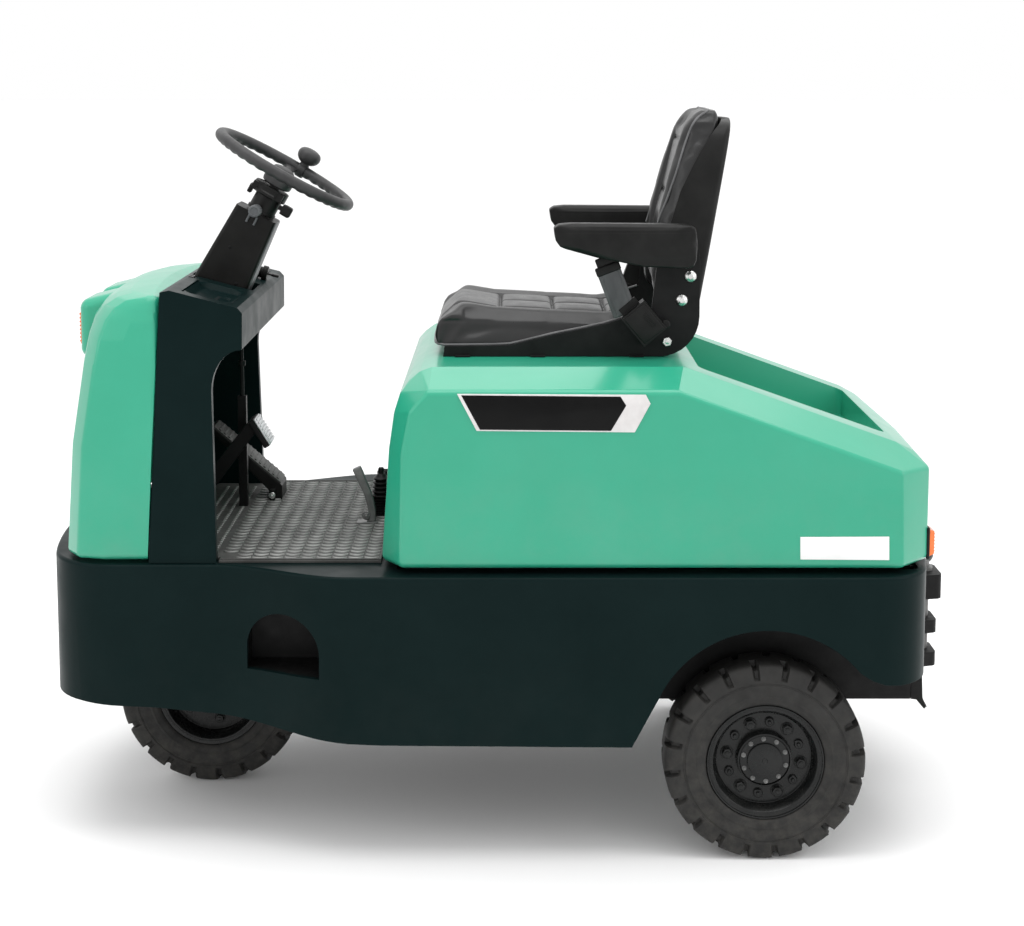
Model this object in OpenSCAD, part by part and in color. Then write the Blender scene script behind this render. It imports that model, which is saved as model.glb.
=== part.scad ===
// Three-wheeled electric baggage tug with a tilting battery hood and an open operator's station.
// Millimetres. +X points forward, +Y to the driver's left, +Z up. The origin is on the ground,
// under the middle of the vehicle's bounding box.

/* [Wheels] */
// Outer diameter of all three tyres
wheel_d = 415; // [400:1:425]
// Width of a tyre
tyre_w = 112; // [100:1:116]
// Distance from the front wheel to the rear axle
wheelbase = 1205; // [1195:1:1215]
// Distance between the middles of the rear tyres
track = 868; // [860:1:872]

/* [Chassis] */
// Half width of the skirt beside the hood
half_w = 500; // [497:1:503]
// Half width of the skirt at the nose
nose_w = 400; // [397:1:403]
// Height of the deck above the ground
deck_z = 600; // [598:1:602]
// Thickness of the skirt's plate
skirt_t = 16; // [10:1:18]

/* [Hood and seat] */
// Height of the flat top of the hood
hood_top = 1010; // [1006:1:1012]
// Wall of the hood and the cowl
shell_t = 8; // [6:1:9]
// Width of the seat cushion
seat_w = 424; // [410:1:426]

/* [Steering] */
// Lean of the steering column from the vertical, in degrees
column_tilt = 27; // [26:1:28]
// Lean of the steering wheel's shaft from the vertical, in degrees
wheel_tilt = 30; // [29:1:31]
// Outer diameter of the steering wheel
steering_d = 345; // [335:1:350]

/* [Hidden] */
$fn = 48;

front_x = 680;
rear_x = front_x - wheelbase;
axle_z = wheel_d / 2;
nose_x = 995.5;
tow_x = -977;
// The shapes below are drawn from the middle of the wheelbase's own datum; this brings the origin under the middle of the box
origin_shift = -(nose_x + tow_x) / 2;
tail_x = -903;
hinge_x = -890;
hinge_z = 616;
col_p = [630, 0, 1158];
arm_x = -378;
arm_z = 1240;
body_green = [0.29, 0.72, 0.58];
body_dark = [0.09, 0.14, 0.14];
black = [0.06, 0.06, 0.06];
grey = [0.25, 0.25, 0.25];
steel = [0.6, 0.6, 0.6];
amber = [0.95, 0.45, 0.05];

// ---- helpers ----
function arc(cx, cy, r, a0, a1, n) = [for (i = [0:n]) let (a = a0 + (a1 - a0) * i / n) [cx + r * cos(a), cy + r * sin(a)]];
function flip(pts) = [for (i = [len(pts) - 1:-1:0]) [pts[i][0], -pts[i][1]]];
function ease(t) = t * t * (3 - 2 * t);
function mix(a, b, t) = a + (b - a) * t;

// Half of the skirt's outline from the nose to the tail, moved inwards by o
front_r = 158;
front_c = [nose_x - 182.1, nose_w - front_r];
rear_r = 125.2;
rear_c = [tail_x + 163.6, half_w - rear_r];
function outline_half(o) = concat(
    [for (i = [0:8]) let (y = (nose_w - 128) * i / 9) [nose_x - o - 26 * pow(y / 270, 2), y]],
    arc(front_c[0], front_c[1], front_r - o, 11, 90, 12),
    [for (i = [0:12]) let (t = i / 12) [mix(608, 330, t), mix(nose_w, half_w, ease(t)) - o]],
    arc(rear_c[0], rear_c[1], rear_r - o, 90, 168.4, 10),
    [for (i = [8:-1:0]) let (y = (half_w - 100) * i / 9) [tail_x + o + 41 * pow(y / 400, 2), y]]);
function outline(o) = concat(outline_half(o), [for (p = flip(outline_half(o))) if (abs(p[1]) > 0.01) p]);

// Extrudes an XZ profile across Y, from y0 to y1
module across(pts, y0, y1) {
    translate([0, y1, 0]) rotate([90, 0, 0]) linear_extrude(height = y1 - y0) polygon(pts);
}
module box(x0, x1, y0, y1, z0, z1) {
    translate([x0, y0, z0]) cube([x1 - x0, y1 - y0, z1 - z0]);
}
module ycyl(x, z, r, y0, y1) {
    translate([x, y0, z]) rotate([-90, 0, 0]) cylinder(r = r, h = y1 - y0);
}
module both() {
    children();
    mirror([0, 1, 0]) children();
}
// Places children on the steering column, t along it from the dash
// Along the wheel's own shaft, from the joint at the head of the column
module on_wheel(t) {
    translate([col_p[0] - sin(column_tilt) * 150 - sin(wheel_tilt) * t, 0, col_p[2] + cos(column_tilt) * 150 + cos(wheel_tilt) * t]) rotate([0, -wheel_tilt, 0]) children();
}
module on_column(t) {
    translate([col_p[0] - sin(column_tilt) * t, 0, col_p[2] + cos(column_tilt) * t]) rotate([0, -column_tilt, 0]) children();
}
// Round-edged convex shape through a list of points
module pebble(pts, r, n = 14) {
    hull() for (p = pts) translate(p) sphere(r = r, $fn = n);
}
// Brings the drawing's datum to the part's origin
module placed() translate([origin_shift, 0, 0]) children();
function mirrored(pts) = concat(pts, [for (p = pts) [p[0], -p[1], p[2]]]);

// ---- chassis ----
arch_c = [rear_x, 247];
arch_r = 243;
step_x = 465.5;
under_profile = concat([[1100, 0], [1100, 302], [900, 302], [740, 295], [620, 283], [500, 269], [400, 258], [330, 252],
        [260, 249], [-250, 245]], arc(arch_c[0], arch_c[1], arch_r, 24, 141, 28), [[-738, 385], [-765, 375], [-800, 371], [-1100, 371], [-1100, 0]]);

module step_mouth(g) {
    intersection() {
        translate([step_x, 432]) circle(r = 78 + g);
        translate([step_x - 100, 410]) square([200, 120]);
    }
    translate([step_x - 78 - g, 384 - g]) square([156 + 2 * g, 48 + g]);
}

module chassis_skirt() {
    color(body_dark) difference() {
        union() {
            translate([0, 0, 240]) linear_extrude(height = deck_z - 240) difference() {
                polygon(outline(0));
                polygon(outline(skirt_t));
            }
            translate([0, 0, deck_z - 12]) linear_extrude(height = 12) difference() {
                polygon(outline(2));
                translate([268, -366]) square([332, 732]);
                translate([-842, -430]) square([1072, 860]);
                translate([640, -330]) square([250, 660]);
            }
        }
        across(under_profile, -620, 620);
        translate([0, 620, 0]) rotate([90, 0, 0]) linear_extrude(height = 1240) step_mouth(0);
    }
}

// Longitudinals, steering head on its cross member, and the battery tray with its bulkheads and wheel-well walls
module inner_frame() {
    color(grey) difference() {
        union() {
            both() box(250.4, 860, 300, 312, 306, 586);
            box(440, 450, -299.6, 299.6, 440, 586);
            box(440, 830, -299.6, 299.6, 468, 488);
            box(240, 250, -470, 470, 252, 586);
            box(-252, 240, -470, 470, 252, 264);
            box(-262, -252, -470, 470, 252, 586);
            both() box(-845, -258, 350, 358, 300, 586);
            box(-836, -790, -350, 350, 300, 420);
            translate([front_x, 0, 440]) cylinder(r = 56, h = 120);
        }
        translate([front_x, 0, 400]) cylinder(r = 30.06, h = 200);
    }
}

module wheel_liners() {
    color(black) both() intersection() {
        difference() {
            ycyl(arch_c[0], arch_c[1], 254, 360, 480);
            ycyl(arch_c[0], arch_c[1], 250, 350, 490);
        }
        box(-820, -306, 300, 490, 372, 586);
    }
}

module step_pockets() {
    color(black) both() intersection() {
        difference() {
            translate([0, 520, 0]) rotate([90, 0, 0]) linear_extrude(height = 190) step_mouth(5);
            translate([0, 530, 0]) rotate([90, 0, 0]) linear_extrude(height = 195) step_mouth(1);
        }
        translate([0, 0, 300]) linear_extrude(height = 280) polygon(outline(skirt_t + 1));
    }
}

module floor_plate() {
    color(grey) translate([0, 0, deck_z]) linear_extrude(height = 6) polygon([[266, -383], [604, -383], [604, -358], [720, -358], [720, -320], [800, -320],
        [800, 320], [720, 320], [720, 358], [604, 358], [604, 383], [266, 383]]);
}

// Lower rear plate with its lip turned out
module rear_apron() {
    color(black) across([[-836.5, 352], [-870, 352], [-872, 300], [-883, 280], [-878, 273], [-862, 292], [-860, 342], [-836.5, 342]], -345, 345);
}

// ---- nose ----
// Sections of the cowl: height, front, half width
cowl_sec = [[620, 938, 374], [840, 924, 368], [1010, 898, 356], [1060, 888, 350], [1096, 874, 344], [1118, 858, 339], [1131, 838, 335], [1138, 810, 331], [1140, 760, 329]];
function cowl_pts(g) = [for (s = cowl_sec) for (i = [0:6]) let (a = i / 6, w = s[2] - g, y = w * sin(90 * a),
        cr = 16 * pow(sin(90 * a), 2), c = (s[1] - g) - cr - 80 * pow(a, 5)) [max(c, 748), y, s[0] + (s[0] > 1090 ? 9 * (1 - pow(sin(90 * a), 2)) : 0) - (s[0] > 700 ? g * 0.6 : 0)]];
function cowl_back(g) = [for (s = cowl_sec) [748 - (s[0] - 620) * 0.02, s[2] - g, s[0] - (s[0] > 700 ? g * 0.6 : 0)]];
pod_y = 106;
pod_z = 1062;

module pod() {
    hull() for (dy = [-46, 46], dz = [-42, 42]) {
        translate([905, pod_y + dy, pod_z + dz]) sphere(r = 24, $fn = 28);
        translate([850, pod_y + dy, pod_z + dz + 14]) rotate([0, 90, 0]) cylinder(r = 24, h = 1, $fn = 28);
    }
}

module front_cowl() {
    color(body_green) difference() {
        union() {
            difference() {
                pebble(mirrored(concat(cowl_pts(0), cowl_back(0))), 14);
                pebble(mirrored(concat(cowl_pts(shell_t), cowl_back(shell_t), [for (y = [330]) [745, y, 560]], [for (y = [240, 330]) [880 - (y - 240) * 0.4, y, 560]], [[910, 0, 560]], [[700, 330, 560]], [[700, 326, 1000]])), 14);
            }
            both() pod();
        }
        // the seam with the dash, and the open back and bottom
        across([[700, 500], [751, 500], [751, 606], [722, 1150], [719, 1210], [600, 1210], [600, 500]], -420, 420);
        box(600, 1000, -420, 420, 560, 606);
        both() ycyl2(pod_y - 20, pod_z, 37, 780, 940);
        both() box(902, 940, pod_y + 24, pod_y + 54, pod_z - 37, pod_z + 37);
    }
}
// Cylinder along X
module ycyl2(y, z, r, x0, x1) {
    translate([x0, y, z]) rotate([0, 90, 0]) cylinder(r = r, h = x1 - x0);
}

module headlamps() {
    color([0.9, 0.9, 0.9]) both() union() {
        ycyl2(pod_y - 20, pod_z, 35, 868, 916);
        translate([915, pod_y - 20, pod_z]) rotate([0, 90, 0]) cylinder(r1 = 36.4, r2 = 31, h = 14);
    }
}

module indicator_lamps() {
    color(amber) both() box(904, 930, pod_y + 25, pod_y + 53, pod_z - 36, pod_z + 36);
}

// ---- dash ----
dash_side = concat([[749, 600], [719.5, 1163], [700, 1167], [560, 1131], [550, 1120], [551, 1046]],
    [for (i = [0:8]) let (a = 90 * i / 8) [553 + 62 * sin(a) * 1.0, 1044 - 86 * (1 - cos(a))]], [[608, 600]]);

module dash_body(w0, w1) {
    hull() {
        box(500, 800, -w0, w0, 598, 599);
        box(500, 800, -w1, w1, 1199, 1200);
    }
}

module dash_console() {
    color(body_dark) difference() {
        intersection() {
            across(dash_side, -420, 420);
            dash_body(389, 357);
        }
        intersection() {
            across([[480, 580], [480, 1036], [570, 1036], [570, 1100], [690, 1128], [800, 1128], [800, 580]], -420, 420);
            dash_body(365, 333);
        }
        // open tray beside the column, and a small one on the far side
        translate([0, 0, 0]) tray_cut(112, 320);
        tray_cut(-330, -200);
        // the column's opening
        on_column(-60) box(-66, 71, -62, 62, 0, 120);
    }
}
module tray_cut(y0, y1) {
    across([[580, 1112], [684, 1138.7], [676, 1190], [572, 1160]], y0, y1);
}

module steering_shroud() {
    color(grey) hull() {
        on_column(-38) for (x = [-47, 57], y = [-42, 42]) translate([x, y, 0]) cylinder(r = 9, h = 1, $fn = 24);
        on_column(158) for (x = [-35, 43], y = [-36, 36]) translate([x, y, 0]) cylinder(r = 9, h = 1, $fn = 24);
    }
}

module steering_column() {
    color(black) {
        difference() {
            union() {
                on_wheel(12) cylinder(r = 31, h = 46);
                on_wheel(52) cylinder(r = 37, h = 22);
                on_wheel(52) box(-30, 44, -34, 34, 2, 20);
            }
            on_wheel(36) cylinder(r = 12.06, h = 60);
        }
    }
}

// Tilt-lock knob that faces left, a small stalk and the key
module dash_controls() {
    color(grey) {
        on_column(166.5) ycyl(6, 0, 13, 46.5, 82);
        on_column(166.5) ycyl(6, 0, 6, 31.5, 46.5);
        on_wheel(44) box(-60, -38.5, 8, 30, -11, 11);
        on_wheel(44) box(-38.5, -31, 12, 26, -5, 5);
        translate([594, -150, 1155.5]) rotate([0, -104.4, 0]) {
            cylinder(r = 13, h = 32);
            translate([-2, -8, 32]) cube([4, 16, 26]);
        }
    }
}

// ---- pedals and floor controls ----
module brake_pedal() {
    color(grey) {
        across([[722, 606], [756, 606], [744, 634], [596, 822], [572, 806]], -42, -12);
        across([[543, 773], [580, 834], [592, 827], [555, 766]], -64, 10);
    }
}

module accelerator_pedal() {
    color(grey) {
        across([[540, 606], [572, 606], [572, 628], [712, 774], [704, 782], [540, 640]], -270, -180);
        box(556, 568, -180, -166, 606, 632);
        box(556, 568, -284, -270, 606, 632);
    }
}

module pedal_rod() {
    color(grey) {
        box(612, 632, -130, -110, 606, 866);
        translate([622, -120, 860]) cylinder(r = 5, h = 236);
        translate([622, -120, 936]) cylinder(r = 9, h = 12);
        translate([622, -120, 1072]) cylinder(r = 11, h = 28);
    }
}

module latch_lever() {
    color(steel) across([[292, 606], [318, 606], [322, 650], [338, 700], [350, 736], [338, 742], [324, 712], [304, 660]], 40, 62);
}

module battery_connector() {
    color(black) {
        box(272, 316, -60, 10, 648, 716);
        box(280, 308, -50, 0, 606, 648);
        box(284, 304, -90, -60, 664, 700);
    }
}

// ---- heavy masses and axle ----
module battery_pack() {
    color(grey) box(-240, 205, -415, 415, 264, 925);
}

module rear_axle() {
    color(black) {
        ycyl(rear_x, axle_z, 42, -356, 356);
        both() ycyl(rear_x, axle_z, 24.95, 350, 446);
        ycyl(rear_x, axle_z, 104, -95, 95);
        both() box(rear_x - 45, rear_x + 45, 330, 350, axle_z, 420);
    }
}

module drive_motor() {
    color(grey) {
        translate([rear_x, 0, 313]) cylinder(r = 100, h = 245);
        translate([rear_x, 0, 311.6]) cylinder(r = 70, h = 3);
    }
}

// ---- towing ----
pin_x = -944;
module tow_coupling() {
    color(black) difference() {
        union() {
            box(-916, -904, -70, 70, 262, 486);
            for (z = [[271, 303, -969, 44], [348, 378, -969, 44], [429, 485, tow_x, 50]]) translate([0, 0, z[0]]) linear_extrude(height = z[1] - z[0])
                polygon(concat([[-905, -62], [-905, 62]], arc(z[2] + 16, z[3] - 16, 16, 90, 180, 4), arc(z[2] + 16, -z[3] + 16, 16, 180, 270, 4)));
        }
        translate([pin_x, 0, 200]) cylinder(r = 13.1, h = 400);
    }
}

module tow_pin() {
    color(steel) {
        translate([pin_x, 0, 262]) cylinder(r = 12.5, h = 246);
        translate([pin_x, 0, 485]) cylinder(r = 20, h = 9);
        translate([pin_x, 0, 520]) rotate([90, 0, 0]) rotate_extrude() translate([17, 0]) circle(r = 4.5, $fn = 24);
    }
}

module hood_hinges() {
    color(black) both() {
        ycyl(hinge_x, hinge_z, 5, 90, 174);
        for (y = [90, 156]) difference() {
            box(hinge_x - 9, hinge_x + 9, y, y + 18, deck_z, hinge_z + 9);
            ycyl(hinge_x, hinge_z, 5, y - 1, y + 19);
        }
    }
}

// ---- hood ----
// Corners of the hood: bottom, waist where the shoulder starts, shoulder and top
hood_r = 14;
function hood_pts(g) = let (r = hood_r, w = 475 - r - g, wb = 478 - r - g, t = hood_top - r - g, ws = 362 - g * 0.6, wc = 418 - g, s = 0.36) concat(
    // bottom ring
    [[262 - r - g, wc - 8, 612 + r], [214 - g, wb, 612 + r], [-792 + g, wb, 612 + r], [-862 + r + g, wc - 18, 612 + r], [-878 + r + g, 0, 612 + r], [-873 + r + g, 220, 612 + r]],
    // the front leans back in a curve
    [[246 - r - g, wc, 850], [236 - r - g, wc - 6, 920], [225 - r - g, wc - 14, 955]],
    [[208 - g, w, 850], [192 - g, w, 930]],
    [[212 - r - g, 372, 972 - g], [192 - r - g, 364, 988 - g], [172 - r - g, ws, t - 1]],
    // waist along the side
    [[160 - g, w, 966 - g], [-340, w, 966 - g], [-788 + g, w, 803 - g], [-790 + g, w, 700]],
    // top and slope
    [[150 - r - g, ws, t], [-357, ws, t], [-812 + r + g, ws - 6, 852 - r - g], [-846 + r + g, ws - 14, 834 - r - g], [-862 + r + g, ws, 812 - r - g], [-864 + r + g, wc - 24, 800 - g], [-876 + r + g, 0, 800 - g]]);

module tray(g) {
    hull() {
        for (y = [-250 - g, 250 + g]) {
            translate([-440 + g, y, 795 - g]) cylinder(r = 18, h = 1, $fn = 24);
            translate([-776 - g, y, 795 - g]) cylinder(r = 18, h = 1, $fn = 24);
            translate([-408 + g, y * 1.09, 1060]) cylinder(r = 18, h = 1, $fn = 24);
            translate([-782 - g, y * 1.09, 1060]) cylinder(r = 18, h = 1, $fn = 24);
        }
    }
}

module rear_hood() {
    color(body_green) difference() {
        pebble(mirrored(hood_pts(0)), hood_r);
        difference() {
            pebble(concat(mirrored(hood_pts(shell_t)), [for (x = [225, -835], y = [-395, 395]) [x, y, 580]], [for (x = [190, -760], y = [-448, 448]) [x, y, 580]]), hood_r);
            tray(shell_t);
        }
        tray(0);
    }
}

module hood_knuckles() {
    color(black) both() difference() {
        union() {
            ycyl(hinge_x, hinge_z, 9.5, 112, 152);
            box(hinge_x, -868, 112, 152, 616, 624);
            box(-882, -870, 112, 152, 616, 668);
        }
        ycyl(hinge_x, hinge_z, 5.08, 105, 160);
    }
}

module rear_lamps() {
    color(amber) both() hull() {
        box(-866, -862, 356, 404, 619, 677);
        box(-878, -876, 361, 399, 624, 672);
    }
}

// ---- seat ----
seat_side = concat([[142, 1010], [-318, 1010]], [for (i = [0:8]) let (a = 90 * i / 8) [-318 - 86 * sin(a), 1096 - 86 * cos(a)]],
    [[-404, 1215], [-398, 1256], [-358, 1256], [-344, 1212], [-312, 1206], [-302, 1112], [-205, 1080], [-90, 1056], [0, 1034], [138, 1032]]);

module seat_frame() {
    color(black) {
        difference() {
            union() {
                both() across(seat_side, 219, 227);
                box(-330, 140, -219, 219, 1010, 1028);
                both() ycyl(arm_x, arm_z, 12, 227, 276);
            }
        }
    }
}

module seat_cushion() {
    color(black) intersection() {
        across(concat([[140, 1029]], arc(128, 1064, 35, -60, 110, 8), [[60, 1102], [-200, 1090], [-292, 1096], [-296, 1029]]), -seat_w / 2, seat_w / 2);
        translate([0, 0, 1000]) linear_extrude(height = 200) polygon(concat([[-400, -212]], arc(100, -152, 60, -90, 0, 6), arc(100, 152, 60, 0, 90, 6), [[-400, 212]]));
    }
}

function back_pts() = mirrored([[-339, 172, 1132], [-334, 172, 1200], [-351, 160, 1300], [-380, 148, 1400], [-408, 128, 1488],
        [-352, 174, 1132], [-362, 172, 1200], [-382, 160, 1310], [-400, 148, 1400], [-414, 120, 1500]]);
module seat_back() {
    color(black) pebble(back_pts(), 25, 20);
}

function shell_pts() = mirrored([[-387, 190, 1118], [-406, 188, 1220], [-425, 176, 1320], [-442, 164, 1410], [-459, 138, 1500],
        [-398, 190, 1118], [-409, 188, 1210], [-432, 176, 1320], [-450, 164, 1410], [-467, 140, 1496]]);
module seat_back_shell() {
    color(black) {
        pebble(shell_pts(), 9, 16);
        // arms to the side plates
        both() box(-402, -386, 190, 219, 1120, 1190);
    }
}

module belt_retractor() {
    color(black) {
        translate([-282, 227, 1088]) rotate([0, 40, 0]) {
            box(-31, 31, 0, 46, -40, 36);
            box(-20, 24, 12, 22, 30, 52);
        }
        translate([-243, 227, 1108]) rotate([0, 21, 0]) box(-24, 24, 14, 19, 0, 100);
    }
}

module belt_buckle() {
    color(black) translate([-262, -244, 1056]) rotate([0, -20, 0]) {
        box(-14, 14, 7, 17, -20, 62);
        box(-22, 22, -8, 14, 56, 122);
    }
}

arm_side = concat([[-398, 1222], [-398, 1284], [-390, 1294]], [[-104, 1296], [-92, 1288], [-96, 1262], [-106, 1250], [-200, 1226], [-250, 1217], [-390, 1216]]);
module armrest(s) {
    color(black) difference() {
        if (s > 0) across(arm_side, 238, 290); else across(arm_side, -290, -238);
        if (s > 0) ycyl(arm_x, arm_z, 12.06, 230, 277); else ycyl(arm_x, arm_z, 12.06, -277, -230);
    }
}
module armrest_left() armrest(1);
module armrest_right() armrest(-1);

// ---- steering wheel ----
module steering_wheel() {
    r = steering_d / 2 - 13;
    color(black) on_wheel(122.4) {
        rotate_extrude($fn = 96) translate([r, 0]) circle(r = 13, $fn = 32);
        translate([0, 0, -42]) cylinder(r = 33, h = 36);
        translate([0, 0, -80]) cylinder(r = 12, h = 50);
        for (a = [0, 120, 240]) rotate([0, 0, a + 30]) difference() {
            translate([20, -14, -18]) cube([r - 24, 28, 12]);
        }
        for (a = [0, 120, 240]) rotate([0, 0, a + 30]) translate([r - 18, -10, -14]) cube([14, 20, 14]);
    }
}

module spinner_knob() {
    r = steering_d / 2 - 13;
    color(black) on_wheel(122.4) translate([-22, -r + 1.5, 0]) {
        translate([0, 0, 9]) cylinder(r = 10, h = 9);
        translate([0, 0, 17.8]) cylinder(r1 = 17, r2 = 27, h = 14);
        translate([0, 0, 31.8]) cylinder(r1 = 27, r2 = 24, h = 12);
        translate([0, 0, 43.8]) cylinder(r1 = 24, r2 = 13, h = 9);
    }
}

// ---- front fork ----
module steer_fork() {
    color(black) difference() {
        union() {
            translate([front_x, 0, 424]) cylinder(r = 84, h = 14);
            translate([front_x, 0, 430]) cylinder(r = 30, h = 150);
            translate([front_x, 0, 562]) cylinder(r = 66, h = 12);
            both() box(front_x - 36, front_x + 36, 66, 80, 200, 430);
            both() ycyl(front_x, axle_z, 36, 66, 80);
        }
        ycyl(front_x, axle_z, 12.56, -100, 100);
    }
}

module front_axle() {
    color(steel) {
        ycyl(front_x, axle_z, 12.5, -92, 92);
        both() ycyl(front_x, axle_z, 20, 81, 90);
    }
}

// ---- wheels ----
// Tyre profile: radius and half-width, turned about the axle
function tyre_profile() = let (R = wheel_d / 2, w = tyre_w / 2) concat([[122, -w + 8], [136, -w + 1], [160, -w], [186, -w + 4]],
    arc(R - 14, -w + 22, 14, -75, -10, 4), [[R, -w + 30], [R, w - 30]], arc(R - 14, w - 22, 14, 10, 75, 4), [[186, w - 4], [160, w], [136, w - 1], [122, w - 8]]);

module tyre() {
    color(black) rotate([90, 0, 0]) rotate_extrude($fn = 96) polygon(tyre_profile());
}

// Rim with a dished disc set towards the inside, and a hub; the outside points to +Y
module rim(bore, disc0, disc1, hub0, hub1, hub_r) {
    w = tyre_w / 2;
    color(grey) difference() {
        rotate([-90, 0, 0]) union() {
            rotate_extrude($fn = 96) polygon([[121.6, -w + 9], [121.6, w - 9], [108, w - 11], [100, w - 24], [98, 0], [100, -w + 24], [108, -w + 11]]);
            translate([0, 0, disc0]) cylinder(r = 101, h = disc1 - disc0);
            translate([0, 0, hub0]) cylinder(r = hub_r, h = hub1 - hub0);
        }
        ycyl(0, 0, bore, -200, hub1 - 8);
    }
}

module front_wheel() {
    translate([front_x, 0, axle_z]) difference() {
        rim(12.56, -7, 7, -60, 60, 40);
        ycyl(0, 0, 12.56, -100, 100);
    }
}
module front_tyre() translate([front_x, 0, axle_z]) tyre();
module rear_wheel(s) {
    translate([rear_x, s * track / 2, axle_z]) if (s > 0) rim(25.02, 4, 16, -56, 34, 52); else mirror([0, 1, 0]) rim(25.02, 4, 16, -56, 34, 52);
}
module rear_wheel_left() rear_wheel(1);
module rear_wheel_right() rear_wheel(-1);
module rear_tyre_left() translate([rear_x, track / 2, axle_z]) tyre();
module rear_tyre_right() translate([rear_x, -track / 2, axle_z]) tyre();

placed() chassis_skirt();
placed() inner_frame();
placed() wheel_liners();
placed() step_pockets();
placed() floor_plate();
placed() front_cowl();
placed() dash_console();
placed() steering_shroud();
placed() steering_column();
placed() dash_controls();
placed() brake_pedal();
placed() accelerator_pedal();
placed() pedal_rod();
placed() latch_lever();
placed() battery_connector();
placed() headlamps();
placed() indicator_lamps();
placed() battery_pack();
placed() rear_axle();
placed() drive_motor();
placed() tow_coupling();
placed() tow_pin();
placed() rear_apron();
placed() hood_hinges();
placed() rear_hood();
placed() hood_knuckles();
placed() rear_lamps();
placed() seat_frame();
placed() seat_cushion();
placed() seat_back();
placed() seat_back_shell();
placed() belt_retractor();
placed() belt_buckle();
placed() armrest_left();
placed() armrest_right();
placed() steering_wheel();
placed() spinner_knob();
placed() steer_fork();
placed() front_axle();
placed() front_wheel();
placed() front_tyre();
placed() rear_wheel_left();
placed() rear_tyre_left();
placed() rear_wheel_right();
placed() rear_tyre_right();
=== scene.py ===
import math
import bmesh
import bpy
import numpy as np
from mathutils import Matrix, Vector
from mathutils.bvhtree import BVHTree


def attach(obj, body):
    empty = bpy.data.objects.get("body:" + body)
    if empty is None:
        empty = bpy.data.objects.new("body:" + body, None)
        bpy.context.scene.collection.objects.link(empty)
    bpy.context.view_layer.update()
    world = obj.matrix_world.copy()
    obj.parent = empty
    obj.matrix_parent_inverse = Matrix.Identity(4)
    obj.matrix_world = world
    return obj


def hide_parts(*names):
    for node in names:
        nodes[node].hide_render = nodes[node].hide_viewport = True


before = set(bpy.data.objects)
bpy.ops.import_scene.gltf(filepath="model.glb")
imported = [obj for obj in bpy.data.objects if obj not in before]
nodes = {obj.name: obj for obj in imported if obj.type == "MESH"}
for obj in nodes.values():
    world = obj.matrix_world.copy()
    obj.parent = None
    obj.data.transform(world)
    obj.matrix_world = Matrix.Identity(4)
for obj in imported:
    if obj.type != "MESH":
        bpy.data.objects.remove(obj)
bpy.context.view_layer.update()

scene = bpy.context.scene
scene.view_settings.view_transform = "Standard"
OX = -9.25  # the drawing's datum to the part's origin, mm
WORLD = Matrix.Translation((OX / 1000, 0, 0)) @ Matrix.Scale(0.001, 4)
RAD = math.radians


def link(o):
    scene.collection.objects.link(o)
    return o


# ---------------------------------------------------------------- camera
F, W, H = 1907.57, 1024.0, 926.0
PPX, PPY = 512.0, 300.0
fwd = Vector((3.0 / F, -232.0 / F, 1.0)).normalized()
up0 = Vector((0, -1, 0))
upv = (up0 - fwd * up0.dot(fwd)).normalized()
rgt = fwd.cross(upv)
AX = [Vector((-rgt[k], -fwd[k], upv[k])) for k in range(3)]
CAM = Vector((-0.02075, 4.25, 1.6208))
cm = Matrix.Identity(4)
for r in range(3):
    cm[r][0], cm[r][1], cm[r][2], cm[r][3] = AX[0][r], -AX[1][r], -AX[2][r], CAM[r]
camd = bpy.data.cameras.new("camera")
cam = link(bpy.data.objects.new("camera", camd))
cam.matrix_world = cm
camd.sensor_fit = "HORIZONTAL"
camd.sensor_width = 36.0
camd.lens = 36.0 * F / W
camd.shift_x = 0.0
camd.shift_y = (PPY - H / 2) / W
camd.clip_start, camd.clip_end = 0.05, 300
scene.camera = cam


def px(u, v, y):
    """Point in the drawing's frame, mm, that lies on the plane Y = y mm under a spot of the picture."""
    d = AX[0] * ((u - PPX) / F) + AX[1] * ((v - PPY) / F) + AX[2]
    p = CAM + d * ((y / 1000 - CAM.y) / d.y)
    return Vector((p.x * 1000 - OX, y, p.z * 1000))


# ---------------------------------------------------------------- stage and light
world = bpy.data.worlds.new("studio")
scene.world = world
world.use_nodes = True
world.node_tree.nodes["Background"].inputs[0].default_value = (1.0, 1.0, 1.0, 1)
world.node_tree.nodes["Background"].inputs[1].default_value = 1.0


def area(name, loc, target, size, energy, color=(1, 1, 1)):
    d = bpy.data.lights.new(name, "AREA")
    d.shape = "RECTANGLE"
    d.size, d.size_y = size
    d.energy = energy
    d.color = color
    o = link(bpy.data.objects.new(name, d))
    o.location = loc
    o.rotation_mode = "QUATERNION"
    o.rotation_quaternion = (Vector(target) - Vector(loc)).to_track_quat("-Z", "Y")
    return o


sun_d = bpy.data.lights.new("sky", "SUN")
sun_d.energy = 0.50
sun_d.angle = RAD(150)
sun = link(bpy.data.objects.new("sky", sun_d))
sun.location = (0, 0, 6)
area("top_box", (0.0, 0.6, 4.4), (0, 0, 0.6), (4.6, 2.6), 94)
area("back_strip", (0.0, -2.7, 4.2), (0, 0, 0.9), (5.4, 1.6), 30)
area("left_strip", (3.6, 2.2, 2.4), (0, 0, 0.7), (1.0, 2.4), 14)
area("right_strip", (-3.8, 1.4, 2.2), (0, 0, 0.8), (1.0, 2.4), 20)

# ---------------------------------------------------------------- materials


def node(nt, kind, **inputs):
    n = nt.nodes.new(kind)
    for k, v in inputs.items():
        n.inputs[k.replace("_", " ")].default_value = v
    return n


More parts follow.
